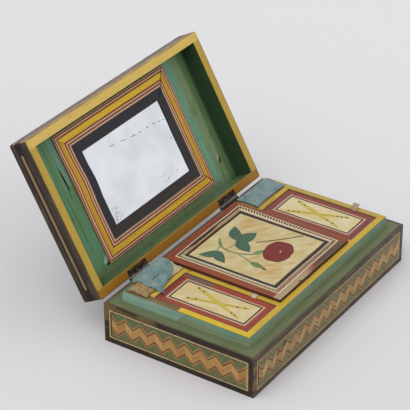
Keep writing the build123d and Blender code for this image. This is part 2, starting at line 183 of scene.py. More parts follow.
@dataclass(frozen=True)
class Place:
    """A plane of the object: where its origin lies, and how it is turned about X, Y and Z in degrees."""

    origin: Triple = (0.0, 0.0, 0.0)
    turn: Triple = (0.0, 0.0, 0.0)

    def euler(self) -> Euler:
        """The turn as a Blender rotation."""
        return Euler([math.radians(angle) for angle in self.turn])

    def at(self, points: Numbers) -> Numbers:
        """Points of this plane, as x, y and the height over it, in the object's frame."""
        return points @ np.array(self.euler().to_matrix()).T + np.array(self.origin)


def lid_place() -> Place:
    """The rim plane of the lid, with y towards the hinges and z towards the lid's outside.

    Its middle is the middle of the closed lid's rim, swung about the hinge pin by the open angle.

    Returns:
        The plane.
    """
    joint = next(j for j in frame["joints"] if j["name"] == "lid_hinge")
    angle = min(joint["range_deg"], key=lambda a: -abs(a))
    pin = np.array(joint["pos_m"]) / MM
    closed = np.array([0.0, 0.0, pin[2] + SEAT_GAP / 2]) - pin
    turn = np.array(Euler((math.radians(angle), 0, 0)).to_matrix())
    return Place(tuple(float(c) for c in pin + turn @ closed), (angle, 0.0, 0.0))


BOX = Place()
LID = lid_place()
WALLS = {
    "front": Place((0.0, -HALF_DEPTH, 0.0), (90.0, 0.0, 0.0)),
    "back": Place((0.0, HALF_DEPTH, 0.0), (90.0, 0.0, 180.0)),
    "left": Place((-HALF_WIDTH, 0.0, 0.0), (90.0, 0.0, -90.0)),
    "right": Place((HALF_WIDTH, 0.0, 0.0), (90.0, 0.0, 90.0)),
}


class Lay(Enum):
    """The way that the straws run over a surface."""

    ALONG_X = "x"
    ALONG_Y = "y"
    RING = "ring"
    LENGTHWISE = "uv"


class Tree:
    """A node tree in the making: nodes are added to it one by one."""

    def __init__(self, owner: bpy.types.ID) -> None:
        """Empties the node tree.

        Args:
            owner: the material or world that has it.
        """
        owner.use_nodes = True
        self.nodes, self.links = owner.node_tree.nodes, owner.node_tree.links
        self.nodes.clear()

    def add(self, kind: str, wires: Sequence | dict = (), output: int | str = 0, **settings: object) -> Socket:
        """Adds one node with its settings and what goes into it.

        Args:
            kind: the shader node's type without its prefix, and its mode after a colon, such as an operation.
            wires: sockets, values or hex colours for its inputs, in order or by index or name.
            output: which output to return.
            settings: further attributes of the node.

        Returns:
            The chosen output socket, or None if the node has no output.
        """
        kind, _, mode = kind.partition(":")
        node = self.nodes.new("ShaderNode" + kind)
        if mode:
            settings[MODES[kind]] = mode
        for key, value in settings.items():
            setattr(node, key, value)
        for key, value in wires.items() if isinstance(wires, dict) else enumerate(wires):
            if isinstance(value, Socket):
                self.links.new(value, node.inputs[key])
            else:
                node.inputs[key].default_value = linear(value) if isinstance(value, str) else value
        return node.outputs[output] if node.outputs else None


class Surface(Tree):
    """A material in the making, closed with a shader."""

    def __init__(self, name: str) -> None:
        """Starts an empty material of that name."""
        self.material = bpy.data.materials.new(name)
        super().__init__(self.material)

    def local(self, place: Place) -> list[Socket]:
        """x, y and the height over a plane of the object, in millimetres."""
        wires = [self.add("TexCoord", output="Object"), [c * MM for c in place.origin], place.euler(), (MM, MM, MM)]
        return list(self.add("SeparateXYZ", [self.add("Mapping", wires, vector_type="TEXTURE")]).node.outputs)

    def away(self, value: Socket, middle: float) -> Socket:
        """How far a value is from a middle, either way."""
        return self.add("Math:ABSOLUTE", [self.add("Math:SUBTRACT", [value, middle])])

    def beyond(self, x: Socket, y: Socket, half: Pair) -> list[Socket]:
        """How far a point is past the sides of an oblong about the middle: across, and lengthwise."""
        return [self.add("Math:SUBTRACT", [self.add("Math:ABSOLUTE", [v]), limit]) for v, limit in zip((x, y), half)]

    def outside(self, x: Socket, y: Socket, half: Pair) -> Socket:
        """1 where a point is past any side of an oblong about the middle, and 0 inside."""
        return self.add("Math:GREATER_THAN", [self.add("Math:MAXIMUM", self.beyond(x, y, half)), 0.0])

    def run(self, lay: Lay, place: Place = BOX, corner: Pair = (0.0, 0.0)) -> tuple[Socket, Socket]:
        """How far along the straws and across them a point lies, in millimetres.

        Args:
            lay: which way the straws run.
            place: the plane that the coordinates belong to.
            corner: for a mitred ring, the half width and half depth of its outside.

        Returns:
            Distance along, and distance across.
        """
        if lay is Lay.LENGTHWISE:
            split = self.add("SeparateXYZ", [self.add("TexCoord", output="UV")]).node
            return split.outputs[0], split.outputs[1]
        x, y, z = self.local(place)
        if lay is not Lay.RING:
            along, other = (x, y) if lay is Lay.ALONG_X else (y, x)
            return along, self.add("Math:ADD", [other, z])
        past_x, past_y = self.beyond(x, y, corner)
        at_side = self.add("Math:GREATER_THAN", [past_x, past_y])
        return self.add("Mix", {0: at_side, 2: x, 3: y}), self.add("Mix", {0: at_side, 2: past_y, 3: past_x})

    def streaks(self, along: Socket, across: Socket, *shapes: Triple) -> list[Socket]:
        """Fine noises drawn out along the straws or the brush strokes.

        Args:
            along: distance along, in millimetres.
            across: distance across, in millimetres.
            shapes: for each noise the length and width of one streak in millimetres, and its seed.

        Returns:
            For each noise a value about 0.5, from 0 to 1.
        """
        noises = []
        for length, width, seed in shapes:
            u, v = self.add("Math:MULTIPLY", [along, 1 / length]), self.add("Math:MULTIPLY", [across, 1 / width])
            spot = self.add("CombineXYZ", [u, v, seed])
            noises.append(self.add("TexNoise", {"Vector": spot, "Scale": 1.0, "Detail": 3.0, "Roughness": 0.6}))
        return noises

    def straws(self, along: Socket, across: Socket, strip: float, seed: float) -> tuple[Socket, Socket]:
        """Straws side by side, each with its own shade, and the hairline joint between two of them.

        Args:
            along: distance along, in millimetres.
            across: distance across, in millimetres.
            strip: width of one flattened straw, in millimetres.
            seed: sets one surface's straws apart from another's.

        Returns:
            The shade of each straw from 0 to 1, and 1 on a joint falling to 0 beside it.
        """
        [wander] = self.streaks(along, across, (60.0, 30.0, seed + 3.0))
        place = self.add("Math:MULTIPLY_ADD", [across, 1 / strip, wander])
        straw = self.add("Math:ADD", [self.add("Math:FLOOR", [place]), seed])
        edge = self.add("Math:PINGPONG", [place, 0.5])
        joint = self.add("MapRange", [edge, 0.0, JOINT_SHARE, 1.0, 0.0])
        return self.add("TexWhiteNoise", {"W": straw}, noise_dimensions="1D"), joint

    def coats(self, ground: Socket | str, *coats: tuple) -> Socket:
        """Lays coats of colour over a ground, one after the other.

        Args:
            ground: the colour underneath.
            coats: each holds its mask and its colour. Or it holds a value, where on that value the coat
                begins and is full, how much it then covers, its colour, and LINEAR for a straight ramp.

        Returns:
            The colour with every coat on.
        """
        for coat in coats:
            mask, paint = coat[0], coat[-1]
            if len(coat) > 2:
                value, start, full, amount, paint, shape = (*coat, "SMOOTHSTEP")[:6]
                mask = self.add("MapRange:" + shape, [value, start, full, 0.0, amount])
            ground = self.add("Mix", {0: mask, 6: ground, 7: paint}, 2, data_type="RGBA")
        return ground

    def lined(self, colour: Socket, fibre: Socket, low: float, high: float, dark: float, light: float) -> Socket:
        """A colour made darker and lighter along its fibres.

        Args:
            colour: the colour.
            fibre: the noise or wave that the fibres follow.
            low: where on it the fibres are darkest.
            high: where on it they are lightest.
            dark: what the colour is multiplied by there at the dark end.
            light: the same at the light end.

        Returns:
            The new colour.
        """
        line = self.add("MapRange", [fibre, low, high, dark, light])
        return self.add("Mix:MULTIPLY", {0: 1.0, 6: colour, 7: line}, 2, data_type="RGBA")

    def close(self, colour: Socket | str, roughness: Socket | float, height: Socket | None = None,
              depth: float = 0.1, **constants: object) -> Material:
        """Ends the material with its shader.

        Args:
            colour: the base colour.
            roughness: the roughness.
            height: relief from 0 to 1, or None for none.
            depth: how many millimetres a height of 1 stands for.
            constants: other sockets of the shader, by name with underscores for spaces.

        Returns:
            The finished material.
        """
        wires = {"Base Color": colour, "Roughness": roughness, "Specular IOR Level": WAXED}
        wires.update({key.replace("_", " "): value for key, value in constants.items()})
        if height is not None:
            wires["Normal"] = self.add("Bump", {"Strength": 1.0, "Distance": depth * MM, "Height": height})
        self.add("OutputMaterial", [self.add("BsdfPrincipled", wires)])
        return self.material


@dataclass(frozen=True)
class Rub:
    """A stretch of a surface that hands have rubbed, in the two coordinates that run over it."""

    low: Pair
    high: Pair
    amount: float = 1.0
    soft: float = 2.5

    def mask(self, s: Surface, across: Socket, up: Socket) -> Socket:
        """The stretch's amount inside it, falling to 0 over its soft edge.

        Args:
            s: the surface that it is added to.
            across: the first coordinate.
            up: the second coordinate.

        Returns:
            The mask.
        """
        sides = []
        for value, low, high in zip((across, up), self.low, self.high):
            off, half = s.away(value, (low + high) / 2), (high - low) / 2
            sides.append(s.add("MapRange:SMOOTHSTEP", [off, half + self.soft, half - self.soft, 0.0, 1.0]))
        return s.add("Math:MULTIPLY", [s.add("Math:MULTIPLY", sides), self.amount])


Stretches = tuple[tuple[Rub, str], ...]


@dataclass(frozen=True)
class Straw:
    """Split rye straw, dyed, ironed flat and glued down side by side.

    The eye sees a satin ribbon of fine lengthwise fibres, a hairline between two straws, a little
    difference of shade from one straw to the next, and dye that has faded in patches.
    """

    name: str
    dye: str
    other: str
    faded: str
    lay: Lay = Lay.LENGTHWISE
    place: Place = BOX
    corner: Pair = (0.0, 0.0)
    strip: float = 9.0
    fading: float = 0.5
    gloss: float = 0.42
    stretches: Stretches = ()
    flanked: Pair = (0.0, 0.0)  # a height, and how far above and below it the straw runs out
    flank: str = "#2a221b"
    joint: str = "#2a1c10"

    def material(self) -> Material:
        """Mixes the finish.

        Returns:
            The Blender material.
        """
        s = Surface(self.name)
        along, across = s.run(self.lay, self.place, self.corner)
        shade, joint = s.straws(along, across, self.strip, 1.0)
        if self.lay is Lay.LENGTHWISE:
            shade = s.add("Attribute", output="Fac", attribute_name=TONE)
        fibre, patch = s.streaks(along, across, (22.0, 0.55, 1.0), (38.0, 9.0, 8.0))
        x, y, z = s.local(self.place)
        colour = s.coats(self.dye, (shade, self.other),
                         (patch, 0.72 - 0.25 * self.fading, 0.86 - 0.2 * self.fading, self.fading, self.faded),
                         *((rub.mask(s, x, y), paint) for rub, paint in self.stretches))
        level, reach = self.flanked
        if reach:
            colour = s.coats(colour, (s.away(z, level), reach, reach + 0.3, 1.0, self.flank, "LINEAR"))
        colour = s.lined(colour, fibre, 0.3, 0.75, 0.80, 1.12)
        colour = s.coats(colour, (joint, 0.0, 1.0, 0.45, self.joint, "LINEAR"))
        rough = s.add("MapRange", [fibre, 0.2, 0.8, self.gloss - 0.07, self.gloss + 0.12])
        return s.close(colour, rough, s.add("Math:SUBTRACT", [fibre, joint]), 0.05)


@dataclass(frozen=True)
class Wood:
    """Planed softwood gone brown with age: long grain with darker late wood, open and dull."""

    name: str
    early: str = "#9a7c52"
    late: str = "#6b5033"
    lay: Lay = Lay.ALONG_X
    ring: float = 2.6

    def material(self) -> Material:
        """Mixes the finish.

        Returns:
            The Blender material.
        """
        s = Surface(self.name)
        grain, pore = s.streaks(*s.run(self.lay), (60.0, self.ring, 5.0), (12.0, 0.35, 8.0))
        colour = s.coats(self.early, (grain, 0.4, 0.64, 1.0, self.late))
        return s.close(s.lined(colour, pore, 0.3, 0.7, 0.82, 1.1), 0.7, pore, 0.06)


@dataclass(frozen=True)
class Iron:
    """Hand-forged iron, dark with oxide: brown rust in blotches, and a bright band at the knuckle tops, partly
    rubbed metal and partly a painted highlight.
    """

    name: str = "forged_iron"
    oxide: str = "#191513"
    rust: str = "#5d4936"
    bright: str = "#8d8884"
    dent: float = 2.6
    knuckle_top: float = 42.8

    def material(self) -> Material:
        """Mixes the finish.

        Returns:
            The Blender material.
        """
        s = Surface(self.name)
        where = s.add("TexCoord", output="Object")
        dents = s.add("TexNoise", {"Vector": where, "Scale": 1 / (self.dent * MM), "Detail": 4.0})
        # A bright band at the height of the knuckle tops: rubbed metal and a painted highlight.
        off_top = s.away(s.add("SeparateXYZ", [where], "Z"), self.knuckle_top * MM)
        rubbed = s.add("MapRange", [off_top, 0.2 * MM, 0.8 * MM, 0.5, 0.0])
        colour = s.coats(self.oxide, (dents, 0.47, 0.57, 0.9, self.rust), (rubbed, self.bright))
        rough = s.add("MapRange", [rubbed, 0.0, 0.8, 0.8, 0.45])
        return s.close(colour, rough, dents, 0.2, Metallic=0.1, Specular_IOR_Level=0.25)


@dataclass(frozen=True)
class OldMirror:
    """Tin-mercury mirror glass: bright and faintly blue, with a grey bloom, and foxing in one corner."""

    name: str = "old_mirror"
    silver: str = "#eef1f3"
    bloom: str = "#dde1e4"
    fox: str = "#3a3a3c"
    corner: Triple = (-57.0, 33.0, 0.0)
    reach: Pair = (14.0, 3.0)  # how far from that corner the foxing starts, and where it is full

    def material(self) -> Material:
        """Mixes the finish.

        Returns:
            The Blender material.
        """
        s = Surface(self.name)
        x, y, _ = s.local(LID)
        spot = s.add("CombineXYZ", [x, y, 0.0])
        cloud = s.add("TexNoise", {"Vector": spot, "Scale": 0.03, "Detail": 2.0})
        bloom = s.add("TexNoise", {"Vector": spot, "Scale": 0.5, "Detail": 4.0, "Roughness": 0.75})
        off_corner = s.add("VectorMath:DISTANCE", [spot, self.corner], "Value")
        black = s.add("Math:MULTIPLY", [s.add("MapRange", [bloom, 0.5, 0.58, 0.0, 0.9]),
                                        s.add("MapRange", [off_corner, *self.reach, 0.0, 1.0])])
        colour = s.coats(self.silver, (cloud, 0.3, 0.75, 1.0, self.bloom), (black, self.fox))
        rough = s.add("MapRange", [black, 0.0, 0.9, 0.06, 0.6])
        return s.close(colour, rough, Metallic=0.94, Specular_IOR_Level=0.5)


@dataclass(frozen=True)
class FrameWood:
    """The mirror frame's softwood: stained black on the lip, and plain brown wood on its outer sides."""

    name: str = "frame_pine"
    black: str = "#201e23"
    brown: str = "#80603f"
    middle: float = -1.5
    stained: Pair = (74.75, 52.0)

    def material(self) -> Material:
        """Mixes the finish.

        Returns:
            The Blender material.
        """
        s = Surface(self.name)
        x, y, _ = s.local(LID)
        past = s.outside(x, s.add("Math:SUBTRACT", [y, self.middle]), self.stained)
        [pore] = s.streaks(x, y, (12.0, 0.6, 3.0))
        return s.close(s.coats(self.black, (past, self.brown)), 0.6, pore, 0.05)


@dataclass(frozen=True)
class WallSheet:
    """The straw sheet of an outer wall: a dark border, and a green ground laid in sloping straws.

    The eye sees near-black brown round the edge, rubbed to tan where hands took hold, and inside
    the stringing a mossy green whose straws follow the slopes of the zigzag.
    """

    name: str
    lay: Lay
    reach: float
    period: float
    rubs: tuple[Rub, ...] = ()
    border: str = "#2a2119"
    border_other: str = "#3a2e23"
    rubbed: str = "#6e5733"
    ground: str = "#58603a"
    ground_other: str = "#726e43"
    blotch: str = "#4f7450"
    tan: str = "#77603a"
    joint: str = "#2c2a18"
    margin: Pair = (0.7, 7.6)

    def material(self) -> Material:
        """Mixes the finish.

        Returns:
            The Blender material.
        """
        s = Surface(self.name)
        x, y, z = s.local(BOX)
        run = x if self.lay is Lay.ALONG_X else y
        middle = WALL_HEIGHT / 2
        edge = s.outside(run, s.add("Math:SUBTRACT", [z, middle]),
                         (self.reach - self.margin[0], middle - self.margin[1]))
        slope = s.add("Math:PINGPONG", [s.add("Math:ADD", [run, self.reach]), self.period / 2])
        level = s.add("Math:ADD", [z, slope])
        shade, joint = s.straws(run, level, 2.6, 4.0)
        fibre, blot = s.streaks(run, level, (8.0, 0.5, 2.0), (13.0, 5.0, 6.0))
        [cloud] = s.streaks(run, z, (24.0, 6.0, 3.0))
        green = s.coats(self.ground, (shade, self.ground_other), (blot, 0.52, 0.62, 0.75, self.blotch),
                        (blot, 0.48, 0.38, 0.75, self.tan), (joint, 0.0, 1.0, 0.5, self.joint, "LINEAR"))
        ragged = [s.add("Math:MULTIPLY_ADD", [cloud, 2.2, rub.mask(s, run, z)]) for rub in self.rubs]
        brown = s.coats(self.border, (cloud, 0.4, 0.66, 1.0, self.border_other),
                        *((worn, 1.45, 2.05, 0.95, self.rubbed) for worn in ragged))
        colour = s.lined(s.coats(green, (edge, brown)), fibre, 0.3, 0.7, 0.72, 1.22)
        return s.close(colour, 0.45, fibre, 0.06)


@dataclass(frozen=True)
class DeckPaint:
    """Blue-green size paint over the lining and olive over the walls' tops, brushed lengthwise on wood.

    The eye sees brush streaks from teal under the edging to moss on the flat, a brown rubbed line
    on the outer edge, a fresh turquoise stretch at the left back, and bare brown wood above it.
    """

    name: str
    lay: Lay
    teal: str = "#679080"
    riser: str = "#7a8868"
    moss: str = "#6b7954"
    olive: str = "#6c6f52"
    edge: str = "#564a3c"
    turquoise: str = "#83a08c"
    bare: str = "#9a7d52"
    grain: str = "#4a3620"
    pinkish: str = "#8f6455"
    stretch_width: float = 14.0
    stretch_start: Pair = (42.2, 42.8)  # of the turquoise, along a slanting line

    def material(self) -> Material:
        """Mixes the finish.

        Returns:
            The Blender material.
        """
        s = Surface(self.name)
        x, y, z = s.local(BOX)
        broad, fine, cloud = s.streaks(*s.run(self.lay), (60.0, 3.5, 1.0), (40.0, 0.9, 3.0), (16.0, 6.0, 5.0))
        flat = s.coats(self.olive, (broad, 0.36, 0.62, 1.0, self.moss))
        out = s.add("Math:ADD", [s.add("Math:MAXIMUM", s.beyond(x, y, (HALF_WIDTH, HALF_DEPTH))), cloud])
        slanting = s.add("Math:ADD", [s.add("Math:MULTIPLY_ADD", [z, 0.8, y]), cloud])
        fresh = s.add("MapRange", [slanting, *self.stretch_start, 0.0, 1.0])
        for limit in (s.add("Math:LESS_THAN", [x, self.stretch_width - HALF_WIDTH]),
                      s.add("Math:GREATER_THAN", [z, WALL_HEIGHT + 0.2]),
                      s.add("MapRange", [cloud, 0.66, 0.74, 1.0, 0.35])):
            fresh = s.add("Math:MULTIPLY", [fresh, limit])
        wood = s.coats(self.grain, (fine, 0.35, 0.65, 1.0, self.bare, "LINEAR"),
                       (cloud, 0.5, 0.66, 0.7, self.pinkish))
        colour = s.coats(self.riser, (s.add("Math:MULTIPLY_ADD", [broad, 9.0, z]), 50.0, 57.0, 1.0, self.teal),
                         (z, WALL_HEIGHT + 0.5, WALL_HEIGHT + 0.1, 1.0, flat, "LINEAR"),
                         (out, -3.1, -1.3, 0.85, self.edge), (fresh, self.turquoise),
                         (s.add("Math:MULTIPLY_ADD", [cloud, 1.6, z]), 52.35, 52.8, 0.95, wood, "LINEAR"))
        return s.close(s.lined(colour, fine, 0.3, 0.7, 0.68, 1.28), 0.6, fine, 0.1)


@dataclass(frozen=True)
class LidBoard:
    """A lid board: dark straw outside, and green size paint inside that runs darker to the right, partly with
    painted shade.

    The eye sees grass green left of the mirror, teal right of it, then a greyed stretch, and an
    almost black green on the right wall. The darkest greens, by the right corner and on the right
    wall, are partly darker paint and partly painted shade. A strip left of the mirror is bleached.
    """

    name: str
    lay: Lay
    left: str = "#547a4c"
    left_other: str = "#5f8c6c"
    teal: str = "#6b977c"
    greyed: str = "#788a63"
    # The two darkest greens: darker paint with painted shade of the right corner and wall
    dark: str = "#547449"
    deep: str = "#30462f"
    grime: str = "#3c4d30"
    straw: str = "#362c22"
    straw_other: str = "#4a3d31"
    flank: str = "#15120f"
    stringing: float = 12.5
    board: float = 6.0
    marks: Stretches = ((Rub((-96.5, -69.0), (-87.0, -19.0), 0.7, 2.6), "#6f9082"),
                        (Rub((-112.0, 64.0), (100.0, 72.0), 0.7, 2.5), "#68704c"))

    def material(self) -> Material:
        """Mixes the finish.

        Returns:
            The Blender material.
        """
        s = Surface(self.name)
        x, y, depth = s.local(LID)
        broad, fine, cloud = s.streaks(*s.run(self.lay, LID), (80.0, 4.5, 1.0), (60.0, 1.0, 3.0), (22.0, 8.0, 5.0))
        waver = s.add("Math:MULTIPLY_ADD", [cloud, 5.0, x])
        dirty = s.add("Math:ADD", [s.add("MapRange:SMOOTHSTEP", [cloud, 0.52, 0.74, 0.0, 0.55]),
                                   s.add("MapRange:SMOOTHSTEP", [y, 58.0, 76.0, 0.0, 0.5])])
        # Darker to the right: the dark and deep greens are partly painted shade by the right corner and on the right
        # wall.
        green = s.coats(self.left, (broad, 0.38, 0.64, 1.0, self.left_other), (waver, 60.0, 76.0, 1.0, self.teal),
                        (waver, 99.0, 108.0, 1.0, self.greyed), (waver, 112.0, 119.0, 1.0, self.dark),
                        (waver, 122.0, 127.0, 1.0, self.deep), (dirty, self.grime),
                        *((rub.mask(s, x, y), paint) for rub, paint in self.marks))
        green = s.lined(green, fine, 0.3, 0.7, 0.74, 1.2)
        run = y if self.lay is Lay.ALONG_Y else x
        fibre, patch = s.streaks(run, depth, (24.0, 0.6, 9.0), (30.0, 6.0, 11.0))
        brown = s.coats(self.straw, (patch, 0.42, 0.66, 1.0, self.straw_other))
        brown = s.lined(brown, fibre, 0.3, 0.7, 0.8, 1.2)
        brown = s.coats(brown, (s.away(depth, self.stringing), 4.1, 3.6, 0.85, self.flank, "LINEAR"))
        above = s.add("Math:GREATER_THAN", [depth, LID_CEILING + 1.5])
        sides = s.outside(x, y, (HALF_WIDTH - self.board, HALF_DEPTH - self.board))
        colour = s.coats(green, (s.add("Math:MAXIMUM", [sides, above]), brown))
        return s.close(colour, 0.55, fine, 0.08)


@dataclass(frozen=True)
class RimStraw:
    """The yellow straw on the lid's rim: paler at the front edge, orange-brown along the hinges, partly its dye and
    partly painted shade from the box beside them.

    The eye sees one broad glossy straw on each side, mitred, with fine fibres, grubby outer edges
    and a few brown bruises.
    """

    name: str = "rim_straw"
    yellow: str = "#bb9c40"
    pale: str = "#dab960"
    # Orange-brown along the hinges: partly the dye, partly painted shade from the box
    orange: str = "#a06a1c"
    bruise: str = "#b08232"
    grime: str = "#6e5227"
    side: str = "#4a3b2c"
    thick: float = 0.62

    def material(self) -> Material:
        """Mixes the finish.

        Returns:
            The Blender material.
        """
        s = Surface(self.name)
        _, y, depth = s.local(LID)
        along, across = s.run(Lay.RING, LID, (HALF_WIDTH, HALF_DEPTH))
        fibre, patch = s.streaks(along, across, (26.0, 0.6, 1.0), (34.0, 5.0, 3.0))
        hinge = s.add("Math:MULTIPLY_ADD", [patch, 3.0, y])
        outer = s.add("Math:MULTIPLY_ADD", [patch, 2.4, across])
        # The orange-brown along the hinges is partly painted shade from the box beside them.
        colour = s.coats(self.yellow, (y, -70.0, -73.0, 1.0, self.pale, "LINEAR"),
                         (hinge, 72.6, 74.6, 0.9, self.orange, "LINEAR"), (patch, 0.56, 0.76, 0.6, self.bruise),
                         (outer, 0.0, 1.3, 0.8, self.grime),
                         (s.add("Math:GREATER_THAN", [depth, self.thick]), self.side))
        rough = s.add("MapRange", [fibre, 0.2, 0.8, 0.36, 0.52])
        return s.close(s.lined(colour, fibre, 0.3, 0.75, 0.84, 1.12), rough, fibre, 0.05)


@dataclass(frozen=True)
class CreamStraw:
    """Natural cream straw in a broad sheet: pale gold with warm clouded streaks that run askew."""

    name: str
    cream: str = "#c6b37d"
    warm: str = "#bf9557"
    pale: str = "#d1c194"
    turn: float = 32.0
    patches: tuple[Rub, ...] = ()

    def material(self) -> Material:
        """Mixes the finish.

        Returns:
            The Blender material.
        """
        s = Surface(self.name)
        along, across, _ = s.local(Place(turn=(0.0, 0.0, -self.turn)))
        fibre, flame, cloud = s.streaks(along, across, (18.0, 0.6, 1.0), (20.0, 4.6, 4.0), (26.0, 15.0, 6.0))
        x, y, _ = s.local(BOX)
        for patch in self.patches:
            flame = s.add("Math:MULTIPLY_ADD", [patch.mask(s, x, y), 0.14, flame])
        colour = s.coats(self.cream, (cloud, 0.4, 0.62, 1.0, self.pale), (flame, 0.5, 0.72, 0.75, self.warm))
        rough = s.add("MapRange", [fibre, 0.2, 0.8, 0.40, 0.55])
        return s.close(s.lined(colour, fibre, 0.3, 0.75, 0.9, 1.07), rough, fibre, 0.03)


@dataclass(frozen=True)
class WornRed:
    """The red border straw: crimson dye, worn to cream at the front left and gone plum-grey at the front right."""

    name: str
    red: str = "#853f2b"
    other: str = "#944d2e"
    plum: str = "#6f3a36"
    cream: str = "#b09c76"
    grey: str = "#503f38"
    moss: str = "#625a3f"
    stain: str = "#3f332c"
    front: Pair = (-54.0, -55.0)
    grey_end: Pair = (50.0, 58.0)  # where the grey stretch of the front ends
    spot: Rub = Rub((-27.0, -62.0), (-23.0, -59.8), 0.7, 1.2)

    def material(self) -> Material:
        """Mixes the finish.

        Returns:
            The Blender material.
        """
        s = Surface(self.name)
        fibre, cloud = s.streaks(*s.run(Lay.LENGTHWISE), (22.0, 0.55, 2.0), (30.0, 4.0, 5.0))
        x, y, _ = s.local(BOX)
        front = s.add("MapRange", [y, *self.front, 0.0, 1.0])
        ragged = s.add("Math:MULTIPLY_ADD", [cloud, 26.0, x])
        worn = s.add("Math:MULTIPLY", [s.add("MapRange:SMOOTHSTEP", [ragged, -2.0, 20.0, 0.95, 0.0]), front])
        ends = s.add("Math:MULTIPLY", [s.add("MapRange", [x, *self.grey_end, 1.0, 0.0]), front])
        grey = s.add("Math:MULTIPLY", [s.add("MapRange:SMOOTHSTEP", [ragged, 12.0, 24.0, 0.0, 0.9]), ends])
        mixed = s.coats(self.grey, (cloud, 0.42, 0.6, 1.0, self.moss, "LINEAR"))
        spot = self.spot.mask(s, x, y)
        tone = s.add("Attribute", output="Fac", attribute_name=TONE)
        colour = s.coats(self.red, (tone, self.other), (cloud, 0.5, 0.68, 0.75, self.plum), (worn, self.cream),
                         (grey, mixed), (spot, self.stain))
        rough = s.add("MapRange", [fibre, 0.2, 0.8, 0.36, 0.52])
        return s.close(s.lined(colour, fibre, 0.3, 0.75, 0.8, 1.14), rough, fibre, 0.05)


@dataclass(frozen=True)
class Silk:
    """Plain-woven silk, sun-faded blue: fine crossing threads with a low sheen, worn and grubby in patches."""

    name: str
    blue: str = "#6f8c8b"
    deep: str = "#547579"
    faded: str = "#8a9c92"
    grime: str = "#7c7b66"
    thread: float = 0.55

    def material(self) -> Material:
        """Mixes the finish. The threads are drawn three times too coarse, to show.

        Returns:
            The Blender material.
        """
        s = Surface(self.name)
        x, y, z = s.local(BOX)
        waves = [s.add("Math:SINE", [s.add("Math:MULTIPLY", [way, math.tau / self.thread])]) for way in (x, y)]
        weave = s.add("Math:MULTIPLY", waves)
        spot = s.add("CombineXYZ", [x, y, z])
        cloud = s.add("TexNoise", {"Vector": spot, "Scale": 0.09, "Detail": 3.0})
        stain = s.add("TexNoise", {"Vector": spot, "Scale": 0.16, "Detail": 4.0, "Roughness": 0.65})
        [slub] = s.streaks(x, y, (9.0, 0.5, 2.0))
        colour = s.coats(self.blue, (cloud, 0.42, 0.7, 0.9, self.faded), (cloud, 0.5, 0.3, 0.7, self.deep),
                         (stain, 0.5, 0.72, 0.6, self.grime))
        colour = s.lined(s.lined(colour, weave, -1.0, 1.0, 0.9, 1.06), slub, 0.3, 0.7, 0.78, 1.2)
        return s.close(colour, 0.55, weave, 0.04, Sheen_Weight=0.25, Sheen_Roughness=0.4)


@dataclass(frozen=True)
class Tow:
    """Cushion stuffing of tow and wool: a felted mass of brown and straw-coloured fibres."""

    name: str = "tow_stuffing"
    light: str = "#c4ad82"
    dark: str = "#86683f"
    pale: str = "#c9b592"

    def material(self) -> Material:
        """Mixes the finish.

        Returns:
            The Blender material.
        """
        s = Surface(self.name)
        x, y, z = s.local(BOX)
        askew = s.add("Math:ADD", [x, y]), s.add("Math:SUBTRACT", [x, y])
        fibre = s.add("Math:MAXIMUM", s.streaks(x, y, (4.0, 0.5, 1.0)) + s.streaks(*askew, (5.0, 0.5, 3.0)))
        clump = s.add("TexNoise", {"Vector": s.add("CombineXYZ", [x, y, z]), "Scale": 0.35, "Detail": 3.0})
        waver = s.add("Math:MULTIPLY_ADD", [clump, 22.0, x])
        colour = s.coats(self.dark, (fibre, 0.45, 0.72, 1.0, self.light, "LINEAR"),
                         (clump, 0.46, 0.7, 0.65, self.dark), (waver, -72.0, -62.0, 0.75, self.pale))
        return s.close(colour, 0.9, fibre, 0.35)


@dataclass(frozen=True)
class Ribbon:
    """Narrow silk ribbon, woven with fine cross ribs, gone limp, faded and grubby along its edges."""

    name: str
    colour: str
    other: str
    grime: str = "#8a785c"
    rib: float = 0.7

    def material(self) -> Material:
        """Mixes the finish. The ribs are drawn about twice too coarse, to show.

        Returns:
            The Blender material.
        """
        s = Surface(self.name)
        along, across = s.run(Lay.LENGTHWISE)
        rib = s.add("Math:SINE", [s.add("Math:MULTIPLY", [along, math.tau / self.rib])])
        [cloud] = s.streaks(along, across, (5.0, 3.0, 1.0))
        colour = s.coats(self.colour, (cloud, self.other),
                         (s.away(across, 0.0), 2.4, 3.2, 0.5, self.grime, "LINEAR"))
        colour = s.lined(colour, rib, -1.0, 1.0, 0.86, 1.06)
        return s.close(colour, 0.6, rib, 0.05, Sheen_Weight=0.15, Sheen_Roughness=0.4)


@dataclass(frozen=True)
class Plain:
    """Card, dirt or chipped paint: matt, with faint felted clouds."""

    name: str
    colour: str
    cloudy: str
    grain: float = 6.0

    def material(self) -> Material:
        """Mixes the finish.

        Returns:
            The Blender material.
        """
        s = Surface(self.name)
        where = s.add("TexCoord", output="Object")
        felt = s.add("TexNoise", {"Vector": where, "Scale": 1 / (self.grain * MM), "Detail": 5.0})
        return s.close(s.coats(self.colour, (felt, self.cloudy)), 0.85, felt, 0.05)


class Finish(Protocol):
    """What a surface is made of."""

    def material(self) -> Material:
        """The finish as a Blender material."""


